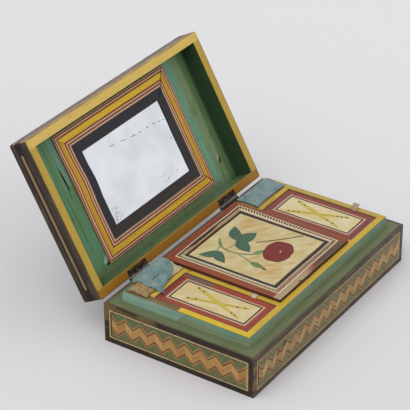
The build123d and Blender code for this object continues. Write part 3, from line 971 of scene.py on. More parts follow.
class Stock:
    """Straws, ribbons and patches cut to outline, gathered into one piece."""

    def __init__(self, seed: int) -> None:
        """Starts an empty piece.

        Args:
            seed: starts the piece's own run of chance.
        """
        self.points: list[Numbers] = []
        self.faces: list[list[int]] = []
        self.runs: list[Numbers] = []
        self.tones: list[Numbers] = []
        self.count = 0
        self.chance = np.random.default_rng(seed)

    def put(self, grid: Numbers, run: Numbers, tone: float = 0.5, faces: Numbers | None = None) -> None:
        """Adds one cut part from a grid of points.

        Args:
            grid: its points in the object's frame, in millimetres, row by row.
            run: distance along and across at each point, in millimetres.
            tone: its shade from 0 to 1.
            faces: its quads. None takes each row as a ring, and makes a tube with closed ends.
        """
        rows, columns = grid.shape[:2]
        total = rows * columns
        ends = [range(columns), range(total - columns, total)] if faces is None else []
        quads = grid_quads(rows, columns, True) if faces is None else faces
        self.faces += [[vertex + self.count for vertex in face] for face in (*quads.tolist(), *ends)]
        self.points.append(grid.reshape(-1, 3))
        self.runs.append(run.reshape(-1, 2))
        self.tones.append(np.full(total, tone))
        self.count += total

    def strip(self, place: Place, left: Numbers, right: Numbers, top: Pair | float, thick: float,
              arris: float = 0.12, tone: float | None = None) -> None:
        """A straw between two edge lines: a flat section with eased arrises, carried from end to end.

        Args:
            place: the plane that it lies on.
            left: x and y along its left edge, one row for each station.
            right: the same along its right edge.
            top: height of its upper face, or heights at the left and right edges.
            thick: its thickness.
            arris: how far the two upper edges are eased.
            tone: its shade, or None for one by chance.
        """
        left, right = np.asarray(left, float), np.asarray(right, float)
        high_l, high_r = np.broadcast_to(np.asarray(top, float), (2,))
        width = np.linalg.norm(right - left, axis=1)
        ease = np.minimum(arris, width / 3)
        inward = unit(right - left) * ease[:, None]
        drop = float(min(arris, thick / 2))
        edges = [left, left, left + inward, right - inward, right, right]
        levels = [high_l - thick, high_l - drop, high_l, high_r, high_r - drop, high_r - thick]
        section = np.stack([np.insert(edge, 2, level, axis=1) for edge, level in zip(edges, levels)], axis=1)
        start = self.chance.uniform(0, 400)
        along = np.repeat(walked((left + right) / 2)[:, None], 6, axis=1)
        over = np.stack([0 * width, 0 * width, ease, width - ease, width, width], axis=1)
        shade = float(self.chance.uniform(0, 1)) if tone is None else tone
        self.put(place.at(section), np.stack([along, over], axis=-1) + start, shade)

    def thread(self, path: Numbers, radius: float) -> None:
        """A thin round thread along a path: a regular polygon carried from point to point, upright in z.

        Args:
            path: x, y and z at each point.
            radius: its radius.
        """
        way = unit(np.gradient(path, axis=0))
        side = unit(np.cross(way, (0.0, 0.0, 1.0)))
        up = np.cross(side, way)
        angle = (np.arange(THREAD_SIDES) / THREAD_SIDES * math.tau)[:, None]
        grid = path[:, None] + radius * (side[:, None] * np.cos(angle) + up[:, None] * np.sin(angle))
        self.put(grid, grid[..., :2])

    def piece(self, name: str, material: Material, body: str, slot: str, replaces: Sequence[str] = (),
              merge: float = 0.0) -> bpy.types.Object:
        """Makes the gathered parts one mesh object.

        Args:
            name: the piece's name.
            material: its finish.
            body: the CAD body that it rides on.
            slot: the record's material slot; not used.
            replaces: CAD nodes that it stands for.
            merge: vertices nearer than this, in millimetres, become one.

        Returns:
            The new object.
        """
        mesh = bpy.data.meshes.new(name)
        mesh.from_pydata(np.concatenate(self.points) * MM, [], self.faces)
        corners = np.zeros(len(mesh.loops), np.int32)
        mesh.loops.foreach_get("vertex_index", corners)
        layer = mesh.uv_layers.new(name="run")
        layer.uv.foreach_set("vector", np.concatenate(self.runs)[corners].astype(np.float32).ravel())
        tone = mesh.attributes.new(TONE, "FLOAT", "POINT")
        tone.data.foreach_set("value", np.concatenate(self.tones).astype(np.float32))
        outward = bmesh.new()
        outward.from_mesh(mesh)
        if merge:
            bmesh.ops.remove_doubles(outward, verts=outward.verts, dist=merge * MM)
        bmesh.ops.recalc_face_normals(outward, faces=outward.faces)
        outward.to_mesh(mesh)
        outward.free()
        mesh.materials.append(material)
        made = stand(name, mesh)
        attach(made, body)
        if replaces:
            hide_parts(*replaces)
        log.info("%s: %d faces, rides on %s", name, len(mesh.polygons), body)
        return made


@dataclass(frozen=True)
class Oblong:
    """A mitred rectangle on a plane, which straws run round: its sides are front, right, back and left.

    Its corners may be skewed at the outline, by less and less inwards.
    """

    place: Place
    centre: Pair
    half: Pair
    wobble: tuple[float, float, float, float]
    seed: int
    stations: int = 25
    skew: tuple[Pair, ...] = ((0.0, 0.0),) * 4
    square_at: float = 16.5

    def edge(self, side: int, inset: float, ends: float, part: Pair) -> Numbers:
        """One side's line at an inset, bowed a little by hand: a sine of a few waves that fades at the corners.

        Args:
            side: 0 front, 1 right, 2 back, 3 left.
            inset: distance in from the outline.
            ends: how far the line stops short of the mitre at each end.
            part: the share of the side that is drawn, from -1 to 1.

        Returns:
            x and y at each station.
        """
        corners = np.array([(-1, -1), (1, -1), (1, 1), (-1, 1)]) * (np.array(self.half) - inset)
        corners = corners + np.array(self.skew) * max(1 - inset / self.square_at, 0.0)
        start, end = corners[side], corners[(side + 1) % 4]
        way = unit(end - start)
        share = np.linspace(*part, self.stations)[:, None]
        chance = np.random.default_rng(self.seed * 7 + side)
        waves = sum(np.sin(share * k * 2.2 + chance.uniform(0, 6.3)) / k for k in (1, 2, 3))
        bow = self.wobble[side] * waves * (1 - share**2) * np.array([-way[1], way[0]])
        return (start + end) / 2 + share * ((end - start) / 2 - ends * way) + bow + np.array(self.centre)

    def straw(self, stock: Stock, side: int, inner: float, outer: float, top: float | Callable[[float], float],
              thick: float, ends: float = 0.03, part: Pair = (-1.0, 1.0), tone: float | None = None) -> None:
        """Lays one straw along a side, between two insets.

        Args:
            stock: what the straw is added to.
            side: the side that it lies on.
            inner: inset of its inner edge.
            outer: inset of its outer edge.
            top: height of its upper face, or the rule that gives the height at an inset.
            thick: its thickness.
            ends: how far it stops short of the mitres.
            part: the share of the side that it covers, from -1 to 1.
            tone: its shade, or None for one by chance.
        """
        left, right = (self.edge(side, inset, ends, part) for inset in (outer, inner))
        heights = (top(outer), top(inner)) if callable(top) else top
        stock.strip(self.place, left, right, heights, thick, tone=tone)


@dataclass(frozen=True)
class Leaf:
    """A leaf, bud or stem cut from straw: from base to tip, with its widest place and a bow to one side."""

    base: Pair
    tip: Pair
    width: float
    belly: float = 0.45
    bow: float = 0.0
    blunt: float = 0.75
    stub: float = 0.0

    def lay(self, stock: Stock, place: Place, top: float = 0.14) -> None:
        """Adds the leaf: half its width is a sine of the way along, warped so that it peaks at the belly.

        The sine is raised to a power that grows to 1 at the tip, which is so the more pointed end.

        Args:
            stock: what it is added to.
            place: the plane that it lies on.
            top: height of its upper face.
        """
        t = np.linspace(0.0, 1.0, 21)[:, None]
        wave = np.sin(math.pi * t ** (math.log(0.5) / math.log(self.belly)))
        half = self.width / 2 * np.maximum(wave ** (self.blunt + (1 - self.blunt) * t), self.stub)
        way = np.array(self.tip) - np.array(self.base)
        side = np.array([-way[1], way[0]]) / np.hypot(*way)
        middle = np.array(self.base) + t * way + self.bow * np.sin(math.pi * t) * side
        reach = np.maximum(half, 0.05) * side
        stock.strip(place, middle - reach, middle + reach, top, 0.2, 0.08)


def dress(nodes: str, finish: Finish) -> None:
    """Gives CAD nodes a finish.

    Args:
        nodes: their names, with spaces between them.
        finish: what they are made of.
    """
    material = finish.material()
    for name in nodes.split():
        for slot in frame["nodes"][name].material_slots:
            slot.material = material
    log.info("%s on %s", material.name, nodes)


@dataclass
class Studio:
    """The floor, the soft light and the camera of the photograph. Its lengths are in metres."""

    azimuth: float = -56.006
    elevation: float = 31.039
    distance: float = 1.7303
    target: Triple = (-0.0279, 0.0414, 0.1046)
    roll: float = -0.318
    focal: float = 164.467
    sky: str = "#f4f5f8"
    sky_strength: Pair = (0.72, 0.96)
    floor: str = "#dcdbdc"
    # The brighter floor colour towards the back is painted light.
    far_floor: str = "#eeedee"
    floor_reach: float = 12.0

    def build(self) -> None:
        """Sets up the world, the lamps, the floor and the camera."""
        self.world()
        self.lamp("key", (-1.6, 0.2, 2.4), 2.4, 34.0)
        self.lamp("fill", (0.7, -2.2, 1.5), 2.0, 8.0)
        self.ground()
        self.camera()
        bpy.context.scene.view_settings.view_transform = "Standard"

    def world(self) -> None:
        """An even pale sky, a little brighter to the camera and to mirrors than to matt surfaces."""
        world = bpy.data.worlds.new("studio")
        bpy.context.scene.world = world
        tree = Tree(world)
        ray = tree.add("LightPath").node.outputs
        seen = tree.add("Math:MAXIMUM", [ray["Is Camera Ray"], ray["Is Glossy Ray"]])
        strength = tree.add("MapRange", [seen, 0.0, 1.0, *self.sky_strength])
        tree.add("OutputWorld", [tree.add("Background", [self.sky, strength])])

    def lamp(self, name: str, where: Triple, size: float, watts: float) -> None:
        """A square softbox that faces the box.

        Args:
            name: the lamp's name.
            where: its place.
            size: the length of its side.
            watts: its power.
        """
        data = bpy.data.lights.new(name, "AREA")
        data.size, data.energy = size, watts
        lamp = stand(name, data)
        lamp.location = where
        lamp.rotation_euler = (Vector(self.target) - Vector(where)).to_track_quat("-Z", "Y").to_euler()

    def ground(self) -> None:
        """A wide pale floor under the box, with painted light that makes it a little brighter towards the back."""
        r = self.floor_reach
        mesh = bpy.data.meshes.new("floor")
        mesh.from_pydata([(-r, -r, 0), (r, -r, 0), (r, r, 0), (-r, r, 0)], [], [(0, 1, 2, 3)])
        s = Surface("paper_backdrop")
        # Painted light: the floor runs from its colour to the brighter far colour across the stage.
        back = s.add("VectorMath:DOT_PRODUCT", [s.add("TexCoord", output="Object"), (0.95, 0.3, 0.0)], "Value")
        mesh.materials.append(s.close(s.coats(self.floor, (back, -0.3, 0.8, 1.0, self.far_floor)), 0.9))
        stand("floor", mesh)

    def camera(self) -> None:
        """The photograph's camera, on a sphere about its target."""
        a, e = math.radians(self.azimuth), math.radians(self.elevation)
        back = Vector((math.sin(a) * math.cos(e), -math.cos(a) * math.cos(e), math.sin(e)))
        data = bpy.data.cameras.new("camera")
        data.lens, data.sensor_width, data.clip_end = self.focal, 36.0, 100.0
        camera = stand("camera", data)
        turn = (-back).to_track_quat("-Z", "Y").to_matrix() @ Matrix.Rotation(math.radians(self.roll), 3, "Z")
        camera.matrix_world = Matrix.Translation(Vector(self.target) + back * self.distance) @ turn.to_4x4()
        bpy.context.scene.camera = camera


@dataclass
class Carcass:
    """The box body's boards, lining and hinges, which the CAD model already shapes."""

    left_rubs: tuple[Rub, ...] = (Rub((16.0, 33.0), (84.0, 43.0), 0.9, 9.0),
                                  Rub((76.0, 22.0), (84.0, 43.0), 0.9, 3.0),
                                  Rub((-84.0, 30.0), (-79.0, 43.0), 0.8, 3.0))
    front_rubs: tuple[Rub, ...] = (Rub((-136.0, 6.0), (-128.5, 34.0), 0.75),
                                   Rub((114.0, 36.0), (137.0, 43.0), 0.7, 4.0))
    # The first stretch makes the left edging a brighter yellow: partly worn straw and partly a painted highlight.
    edging: Stretches = ((Rub((-126.0, -70.0), (-112.0, 8.6), 0.9, 0.8), "#d6b931"),
                         (Rub((112.5, -62.0), (126.0, 70.0), 0.6, 0.8), "#b39a58"),
                         (Rub((58.0, -60.0), (66.2, 41.0), 0.85, 0.8), "#8c5a45"))

    def build(self) -> None:
        """Dresses the nodes of the box."""
        for side, half, rubs in (("front", HALF_WIDTH, self.front_rubs), ("back", HALF_WIDTH, ()),
                                 ("left", HALF_DEPTH, self.left_rubs), ("right", HALF_DEPTH, ())):
            reach = half - ZIGZAG_INSET
            period = 2 * reach / round(2 * reach / ZIGZAG_PERIOD)
            sheet = WallSheet(f"wall_straw_{side}", Lay.ALONG_Y, reach, period, rubs)
            # The front and back sheets get lighter colours than the left and right: painted light for how the lamps
            # fall on the walls.
            if side in ("front", "back"):
                sheet = replace(sheet, lay=Lay.ALONG_X, border="#433528", border_other="#5a4a3a", rubbed="#7d6039",
                                ground="#666642", ground_other="#80764f", blotch="#64765c", tan="#8b7350")
            dress(f"panel_{side}", sheet)
        dress("wall_front wall_back lining_front lining_back", DeckPaint("deck_paint_x", Lay.ALONG_X))
        dress("wall_left wall_right lining_left lining_right", DeckPaint("deck_paint_y", Lay.ALONG_Y))
        dress("box_bottom cover_ledges", Wood("old_pine_x"))
        dress("centre_cover_board", Wood("stained_pine", "#55342a", "#38221b"))
        dress("partition_left partition_right cross_partition_left cross_partition_right left_cover_board "
              "right_cover_board left_pincushion_board right_pincushion_board", Wood("old_pine_y", lay=Lay.ALONG_Y))
        dress("straw_edging", Straw("yellow_straw", "#c9a73a", "#d3b243", "#ad8438", Lay.RING, corner=(119.0, 65.0),
                                    strip=60.0, fading=0.6, stretches=self.edging))
        dress("box_stringing", Straw("tan_straw", "#b39b70", "#bda67a", "#93784f", Lay.ALONG_X, strip=30.0))
        dress("left_box_leaf right_box_leaf left_lid_leaf right_lid_leaf box_leaf_nails lid_leaf_nails hinge_pins",
              Iron())


class Lid:
    """The lid's boards, rim and mirror."""

    def build(self) -> None:
        """Dresses the lid's nodes."""
        dress("lid_top lid_wall_left lid_wall_right", LidBoard("lid_board_y", Lay.ALONG_Y))
        dress("lid_wall_front lid_wall_back",
              LidBoard("lid_board_x", Lay.ALONG_X, straw="#8d7660", straw_other="#b79d7c"))
        dress("lid_rim_straw", RimStraw())
        dress("lid_stringing", Straw("lid_tan_straw", "#927653", "#a08461", "#75593c", Lay.ALONG_Y, LID,
                                     strip=30.0, flanked=(12.5, 1.25)))
        dress("mirror_frame_front mirror_frame_back mirror_frame_left mirror_frame_right", FrameWood())
        dress("mirror_card", Plain("backing_card", "#6f6250", "#5d5142"))
        dress("mirror_glass", OldMirror())


@dataclass
class Cushion:
    """A stuffed pad on its board: a closed form, crowned, drawn in at the sides, flat where it rests.

    Its plan is an oblong whose sides pull in by a parabola and waver by a small relief.
    A corner at the left back may have lost its stuffing, by a smooth step. Its top is the crown
    times two rounded steps, one each way, and its underside the same with a small depth, held above
    the board.
    """

    name: str
    body: str
    low: Pair
    high: Pair
    crown: float
    back_crown: float
    relief: tuple[float, float, int]  # height, size and seed
    round_off: float
    drawn_in: float = 0.8
    ragged: float = 0.0
    lost_corner: float = 0.0
    floor: float = 52.7
    seam: float = 1.0
    cells: tuple[int, int] = (150, 90)

    def middle(self) -> tuple[Numbers, Numbers]:
        """The middle of the plan, and its half sizes."""
        low, high = np.array(self.low), np.array(self.high)
        return (low + high) / 2, (high - low) / 2

    def lost(self, u: Numbers) -> Numbers:
        """How much of the back end is lost, at a share across."""
        return self.lost_corner * ramp(u, -0.3, -0.75)

    def plan(self, u: Numbers, v: Numbers) -> tuple[Numbers, Numbers]:
        """x and y of a point of the pad, from its shares across and along, each from -1 to 1.

        Args:
            u: share across.
            v: share along.

        Returns:
            x and y in millimetres.
        """
        (cx, cy), (a, b) = self.middle()
        side = a - self.drawn_in * (1 - v**2) + self.ragged * lumps(b * v, np.sign(u) * 9.0, 7.0, 61)
        end = b - self.drawn_in * (1 - u**2) + self.ragged * lumps(a * u, np.sign(v) * 9.0, 7.0, 62)
        return cx + side * u, cy + end * v - self.lost(u) * (1 + v) / 2

    def top(self, u: Numbers, v: Numbers) -> Numbers:
        """Height of the upper face: the seam, and the crown times both rounded steps, with its relief.

        Args:
            u: share across.
            v: share along.

        Returns:
            Heights in millimetres.
        """
        crown = self.crown + (self.back_crown - self.crown) * ramp(v, -0.9, 0.75)
        rounded = np.sqrt(np.maximum(1 - np.abs(u) ** (2 * self.round_off), 0)) * np.sqrt(
            np.maximum(1 - np.abs(v) ** self.round_off, 0))
        height, size, seed = self.relief
        lift = height * lumps(*self.plan(u, v), size, seed) * rounded**2
        return self.floor + self.seam + (crown - self.seam + lift) * rounded

    def build(self, material: Material) -> bpy.types.Object:
        """Makes the pad from an upper and a lower grid that meet in the seam, and face opposite ways.

        Args:
            material: its finish.

        Returns:
            The new object.
        """
        stock = Stock(5)
        u, v = np.meshgrid(*(np.linspace(-1, 1, count) for count in self.cells), indexing="ij")
        edge = np.sqrt(np.maximum((1 - u**8) * (1 - v**8), 0))
        under = np.maximum(self.floor + self.seam * (1 - 1.6 * edge), self.floor + 0.05)
        quads = grid_quads(*self.cells)
        for level, order in ((self.top(u, v), [0, 3, 2, 1]), (under, [1, 2, 3, 0])):
            grid = np.stack([*self.plan(u, v), level], axis=-1)
            stock.put(grid, grid[..., :2], faces=quads[:, order])
        made = stock.piece(self.name, material, self.body, "silk", [f"{self.body}_pad"], merge=0.01)
        made.data.shade_smooth()
        return made

    def give(self, made: bpy.types.Object) -> None:
        """Gives a piece of the cushion its own copy of its mesh."""
        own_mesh(made)


@dataclass
class TornSilk:
    """What is left of a cushion's silk: one thin sheet, ragged at its edges and slit across the middle.

    Its plan fills four given edges, each edge's points blended across to the one opposite. It
    lies on the stuffing, a little above it, with small folds, and rolls down past the stuffing's end.
    """

    pad: Cushion
    front: tuple[Pair, ...] = ((-105.0, 33.8), (-102.0, 37.6), (-97.0, 40.2), (-90.0, 41.4), (-83.0, 42.6),
                               (-76.0, 45.4), (-69.4, 49.8))
    right: tuple[Pair, ...] = ((-69.4, 49.8), (-65.6, 54.2), (-62.6, 59.6), (-62.4, 64.8), (-66.0, 69.6))
    back: tuple[Pair, ...] = ((-107.0, 69.4), (-95.0, 70.5), (-84.0, 70.8), (-75.0, 70.5), (-66.0, 69.6))
    left: tuple[Pair, ...] = ((-105.0, 33.8), (-107.6, 42.0), (-110.4, 49.0), (-111.6, 56.0), (-111.0, 61.5),
                              (-107.0, 69.4))
    slit: tuple[Pair, Pair] = ((-88.0, 51.6), (-99.8, 51.4))
    slit_width: float = 0.9
    furthest: float = 71.4
    thick: float = 0.25
    lift: float = 0.55
    folds: Pair = (0.36, 0.2)  # heights of the long folds and the small ones
    roll: float = 0.75
    hub: Pair = (-86.0, 56.0)
    thread_reach: Pair = (0.9, 2.6)
    thread_droop: Pair = (0.2, 1.0)
    thread_spread: float = 0.35
    hanging: tuple[Triple, ...] = ((-104.2, 36.0, 53.9), (-105.0, 34.4, 53.4), (-105.5, 33.0, 53.1),
                                   (-106.0, 31.4, 52.9))
    flat: Pair = (0.052, 0.040)
    cells: tuple[int, int] = (150, 100)

    def outline(self, points: Sequence[Pair], share: Numbers, seed: int) -> Numbers:
        """A given edge, frayed by a small relief of two sizes.

        Args:
            points: x and y of its corners.
            share: how far along it each point lies, from 0 to 1.
            seed: sets one edge's fray apart from another's.

        Returns:
            x and y at each share.
        """
        points = np.array(points, float)
        way = walked(points)
        at = share * way[-1]
        line = np.column_stack([np.interp(at, way, points[:, axis]) for axis in (0, 1)])
        fray = 0.5 * lumps(at, at * 0 + seed, 3.4, seed) + 0.28 * lumps(at, at * 0, 1.2, seed + 9)
        normal = unit(np.gradient(line, axis=0)[:, ::-1] * (1, -1))
        return line + normal * (fray * np.minimum(np.minimum(share, 1 - share) * 8, 1))[:, None]

    def height(self, x: Numbers, y: Numbers) -> Numbers:
        """How high the silk lies: over the stuffing, and past its edges a short roll down to the board.

        Args:
            x: first coordinate.
            y: second coordinate.

        Returns:
            Heights in millimetres.
        """
        (cx, cy), (a, b) = self.pad.middle()
        u = (x - cx) / a
        cut = self.pad.lost(u) / 2
        v = (y - cy + cut) / (b - cut)
        inside = self.pad.top(np.clip(u, -0.985, 0.985), np.clip(v, -0.955, 0.955))
        past = np.hypot(np.maximum(np.abs(x - cx) - a, 0), np.maximum(np.abs(v) - 1, 0) * b)
        high, low = self.folds
        folds = high * np.abs(lumps(x * 0.6 + y * 0.8, y * 0.3, 6.0, 71)) + low * lumps(x, y, 2.6, 72)
        return np.maximum(inside + self.lift + folds - self.roll * past, self.pad.floor + 0.4)

    def build(self, material: Material) -> None:
        """Makes the sheet and its loose threads.

        Args:
            material: the silk.
        """
        s, t = (np.linspace(0, 1, count) for count in self.cells)
        front, back = self.outline(self.front, s, 31), self.outline(self.back, s, 32)
        left, right = self.outline(self.left, t, 33), self.outline(self.right, t, 34)
        u, v = s[:, None, None], t[:, None]
        blend = (1 - v) * front[:, None] + v * back[:, None] + (1 - u) * left + u * right
        corners = (1 - u) * ((1 - v) * front[0] + v * back[0]) + u * ((1 - v) * front[-1] + v * back[-1])
        plan = blend - corners
        grid = np.concatenate([plan, self.height(plan[..., 0], plan[..., 1])[..., None]], axis=-1)
        quads = grid_quads(*self.cells)[:, [0, 3, 2, 1]]
        quads = quads[self.whole(grid.reshape(-1, 3)[quads].mean(axis=1)[:, :2])]
        stock = Stock(33)
        stock.put(grid, plan - plan.min(axis=(0, 1)), faces=quads)
        made = stock.piece("left_cushion_silk", material, self.pad.body, "silk")
        made.data.shade_smooth()
        solid = made.modifiers.new("weight", "SOLIDIFY")
        solid.thickness, solid.offset = self.thick * MM, 0.0
        self.pad.give(made)
        self.threads(material, ((front, 26), (left, 24), (back, 14)))

    def whole(self, points: Numbers) -> Numbers:
        """Which points of the plan lie outside the slit, which is a slim ellipse.

        Args:
            points: x and y of each.

        Returns:
            True for each that does.
        """
        start, end = np.array(self.slit)
        length, way = np.linalg.norm(end - start), unit(end - start)
        along, off = (points - start) @ way / length, np.abs((points - start) @ (-way[1], way[0]))
        return off >= self.slit_width / 2 * np.sqrt(np.maximum(1 - (2 * along - 1) ** 2, 0))

    def threads(self, material: Material, edges: Sequence[tuple[Numbers, int]]) -> None:
        """Loose threads: each starts on an edge and droops outwards in a parabola.

        Args:
            material: the silk.
            edges: for each edge its points, and how many threads it has.
        """
        stock = Stock(35)
        chance, hub, t = stock.chance, np.array(self.hub), np.linspace(0, 1, 7)
        for edge, count in edges:
            for k in chance.integers(2, len(edge) - 2, count):
                start = edge[k] + unit(hub - edge[k]) * 0.8
                out = unit(start - hub) + chance.normal(0, self.thread_spread, 2)
                reach = chance.uniform(*self.thread_reach)
                x, y = start[:, None] + out[:, None] * reach * t
                z = self.height(*start) + 0.1 - chance.uniform(*self.thread_droop) * t**2 * reach / 2
                path = [x, np.minimum(y, self.furthest), np.maximum(z, self.pad.floor + 0.1)]
                stock.thread(np.column_stack(path), 0.1)
        stock.thread(np.array(self.hanging), 0.22)
        self.pad.give(stock.piece("left_cushion_threads", material, self.pad.body, "silk"))


@dataclass(frozen=True)
class Pull:
    """A ribbon pull on a side cover: a narrow ribbon that comes up past the edge, lies over and folds back."""

    side: str
    path: tuple[Pair, ...]
    width: float = 6.3
    thick: float = 0.22
    curl: float = 0.12
    ripple: float = 0.03

    def build(self, material: Material) -> None:
        """Carries the ribbon's thin section along its path, which is rounded at each turn.

        Args:
            material: the ribbon.
        """
        node = f"{self.side}_cover_tab"
        low, high = node_box(node)
        line = np.array(self.path)
        for _ in range(3):
            near, far = line[:-1] * 0.75 + line[1:] * 0.25, line[:-1] * 0.25 + line[1:] * 0.75
            line = np.vstack([line[:1], np.stack([near, far], axis=1).reshape(-1, 2), line[-1:]])
        normal = unit(np.gradient(line, axis=0))[:, None, ::-1] * (-1, 1)
        along = walked(line)[:, None]
        share = np.array([-1.0, -0.5, 0.0, 0.5, 1.0, 1.0, 0.5, 0.0, -0.5, -1.0])
        across = share * self.width / 2
        face = np.repeat([1.0, -1.0], 5) * self.thick / 2
        place = line[:, None] + (face + self.curl * share**2)[:, None] * normal
        y = (low[1] + high[1]) / 2 + across * (1 + self.ripple * np.sin(along * 1.3))
        stock = Stock(44)
        stock.put(np.stack([place[..., 0], y, place[..., 1]], axis=-1),
                  np.stack(np.broadcast_arrays(along, across), axis=-1))
        made = stock.piece(f"{self.side}_cover_pull", material, f"{self.side}_cover", "ribbon", [node])
        made.data.shade_smooth()


@dataclass
class Covers:
    """The panels of the three lift-out covers, their ribbon pulls, and the two pincushions."""

    warm: tuple[Rub, ...] = (Rub((22.0, 6.0), (40.0, 40.0), 0.9, 8.0), Rub((-33.0, -38.0), (-14.0, -12.0), 0.8, 7.0))
    left_pull: Pull = Pull("left", ((-66.45, 48.3), (-66.45, 53.0), (-61.4, 53.0), (-61.4, 53.45), (-66.75, 53.4),
                                    (-66.75, 48.3)))
    right_pull: Pull = Pull("right", ((115.25, 48.3), (115.25, 53.1), (121.2, 57.0), (121.1, 57.6), (115.5, 54.0),
                                      (115.5, 48.3)))

    def build(self) -> None:
        """Dresses the panels, and makes the pulls and the cushions."""
        dress("centre_cover_panel", CreamStraw("cream_straw_centre", patches=self.warm))
        dress("left_cover_panel", CreamStraw("cream_straw_left", "#d1bd88", "#cda570", "#d9c89d", 78.0))
        dress("right_cover_panel", CreamStraw("cream_straw_right", "#d5c492", "#d1ab78", "#ddd1a9", 78.0))
        self.left_pull.build(Ribbon("faded_pink_ribbon", "#d9c0a8", "#c9a58e").material())
        self.right_pull.build(Ribbon("tan_ribbon", "#bfa58a", "#a98d72").material())
        tow = Cushion("left_cushion_tow", "left_pincushion", (-121.2, 42.8), (-61.7, 68.0), 3.6, 7.0, (0.6, 6.0, 3),
                      4.0, ragged=0.55, lost_corner=5.5)
        tow.give(tow.build(Tow().material()))
        TornSilk(tow).build(Silk("faded_blue_silk").material())
        full = Cushion("right_cushion_silk", "right_pincushion", (67.2, 43.8), (118.6, 68.2), 2.6, 2.8,
                       (0.12, 9.0, 8), 7.0, drawn_in=1.0)
        full.build(Silk("faded_blue_silk_whole", "#738d8f", "#5a777a", "#869a97", "#7d7d68").material())


@dataclass
class Zigzags:
    """The zigzag bands of the four outer walls, in straws that slope up and down by turns."""

    rise: float = 7.7
    band: float = 10.0
    dark_line: float = 1.4
    light_line: float = 1.1
    sliver: float = 1.5
    sliver_past: float = 2.5
    sliver_proud: float = 0.15
    overlap: float = 0.1
    straw_thick: float = 0.8
    line_thick: float = 0.3
    # The first two shades are painted sheen: straws that slope one way are lighter than those that slope the other
    sheen_shades: Triple = (0.25, 0.75, 0.15)  # of the straws that slope either way, and how far one strays
    knock_proud: float = 0.18
    proud: float = 0.1
    gap: float = 0.06
    arris: float = 0.06
    knocks: tuple[Leaf, ...] = (Leaf((-97.5, 23.0), (-91.5, 28.0), 3.0), Leaf((-85.0, 27.0), (-81.5, 31.5), 3.6))

    def build(self) -> None:
        """Cuts and lays the straws of each wall."""
        ochre = Straw("ochre_straw", "#a87a44", "#be9358", "#93703f", strip=20.0).material()
        tan = Straw("ochre_tan_straw", "#a37b4a", "#bc9f6c", "#8f7347", strip=20.0).material()
        dark = Straw("brown_line_straw", "#4a2a14", "#5c361c", "#7a5532").material()
        light = Straw("light_line_straw", "#ad8256", "#b98f62", "#85734a").material()
        for number, side in enumerate(WALLS):
            stocks = {key: Stock(20 + number) for key in ("band", "dark", "light")}
            self.lay(side, stocks)
            band = tan if side in ("front", "back") else ochre
            stocks["band"].piece(f"zigzag_straws_{side}", band, "box", "ochre_straw", [f"zigzag_{side}"])
            stocks["dark"].piece(f"zigzag_dark_lines_{side}", dark, "box", "dark_straw")
            stocks["light"].piece(f"zigzag_light_lines_{side}", light, "box", "tan_straw")

    def lay(self, side: str, stocks: dict[str, Stock]) -> None:
        """Lays one wall: for each half period a sloping straw with a dark and a light line on either edge.

        A narrow upright straw closes the pattern at each end.

        Args:
            side: the wall.
            stocks: what the straws of each finish are added to.
        """
        low, high = node_box(f"zigzag_{side}")
        short, wall = side in ("left", "right"), WALLS[side]
        reach = float(high[1 if short else 0])
        turns = 2 * round(2 * reach / ZIGZAG_PERIOD)
        a = np.linspace(-reach, reach, turns + 1)
        z = (low[2] + high[2]) / 2 + self.rise / 2 * np.resize([1, -1], turns + 1)
        near, far = self.band / 2, self.band / 2 + self.dark_line
        bands = [("band", -near, near, self.straw_thick)]
        *sheen_shades, stray = self.sheen_shades
        for sign in (-1, 1):
            bands.append(("dark", *sorted((sign * (near - self.overlap), sign * far)), self.line_thick))
            bands.append(("light", *sorted((sign * far, sign * (far + self.light_line))), self.line_thick))
        for i in range(turns):
            x = np.array([a[i] + self.gap, a[i + 1] - self.gap])
            # Painted sheen: each straw takes the lighter or the darker shade by the way it slopes.
            lean = (i + short) % 2
            shade = float(np.clip(sheen_shades[lean] + stocks["band"].chance.normal(0, stray), 0, 1))
            for key, under, over, thick in bands:
                left, right = (np.column_stack([x, z[i : i + 2] + level]) for level in (under, over))
                tone = shade if key == "band" else None
                stocks[key].strip(wall, left, right, self.proud, thick, self.arris, tone)
        for knock in self.knocks if side == "front" else ():
            knock.lay(stocks["dark"], wall, self.knock_proud)
        for key, sign in (("dark", -1), ("band", 1)):
            outer = np.array([(sign * reach, low[2] - self.sliver_past), (sign * reach, high[2] + self.sliver_past)])
            inner = outer - (sign * self.sliver, 0.0)
            stocks[key].strip(wall, outer, inner, self.sliver_proud, self.line_thick, self.arris, 0.2)


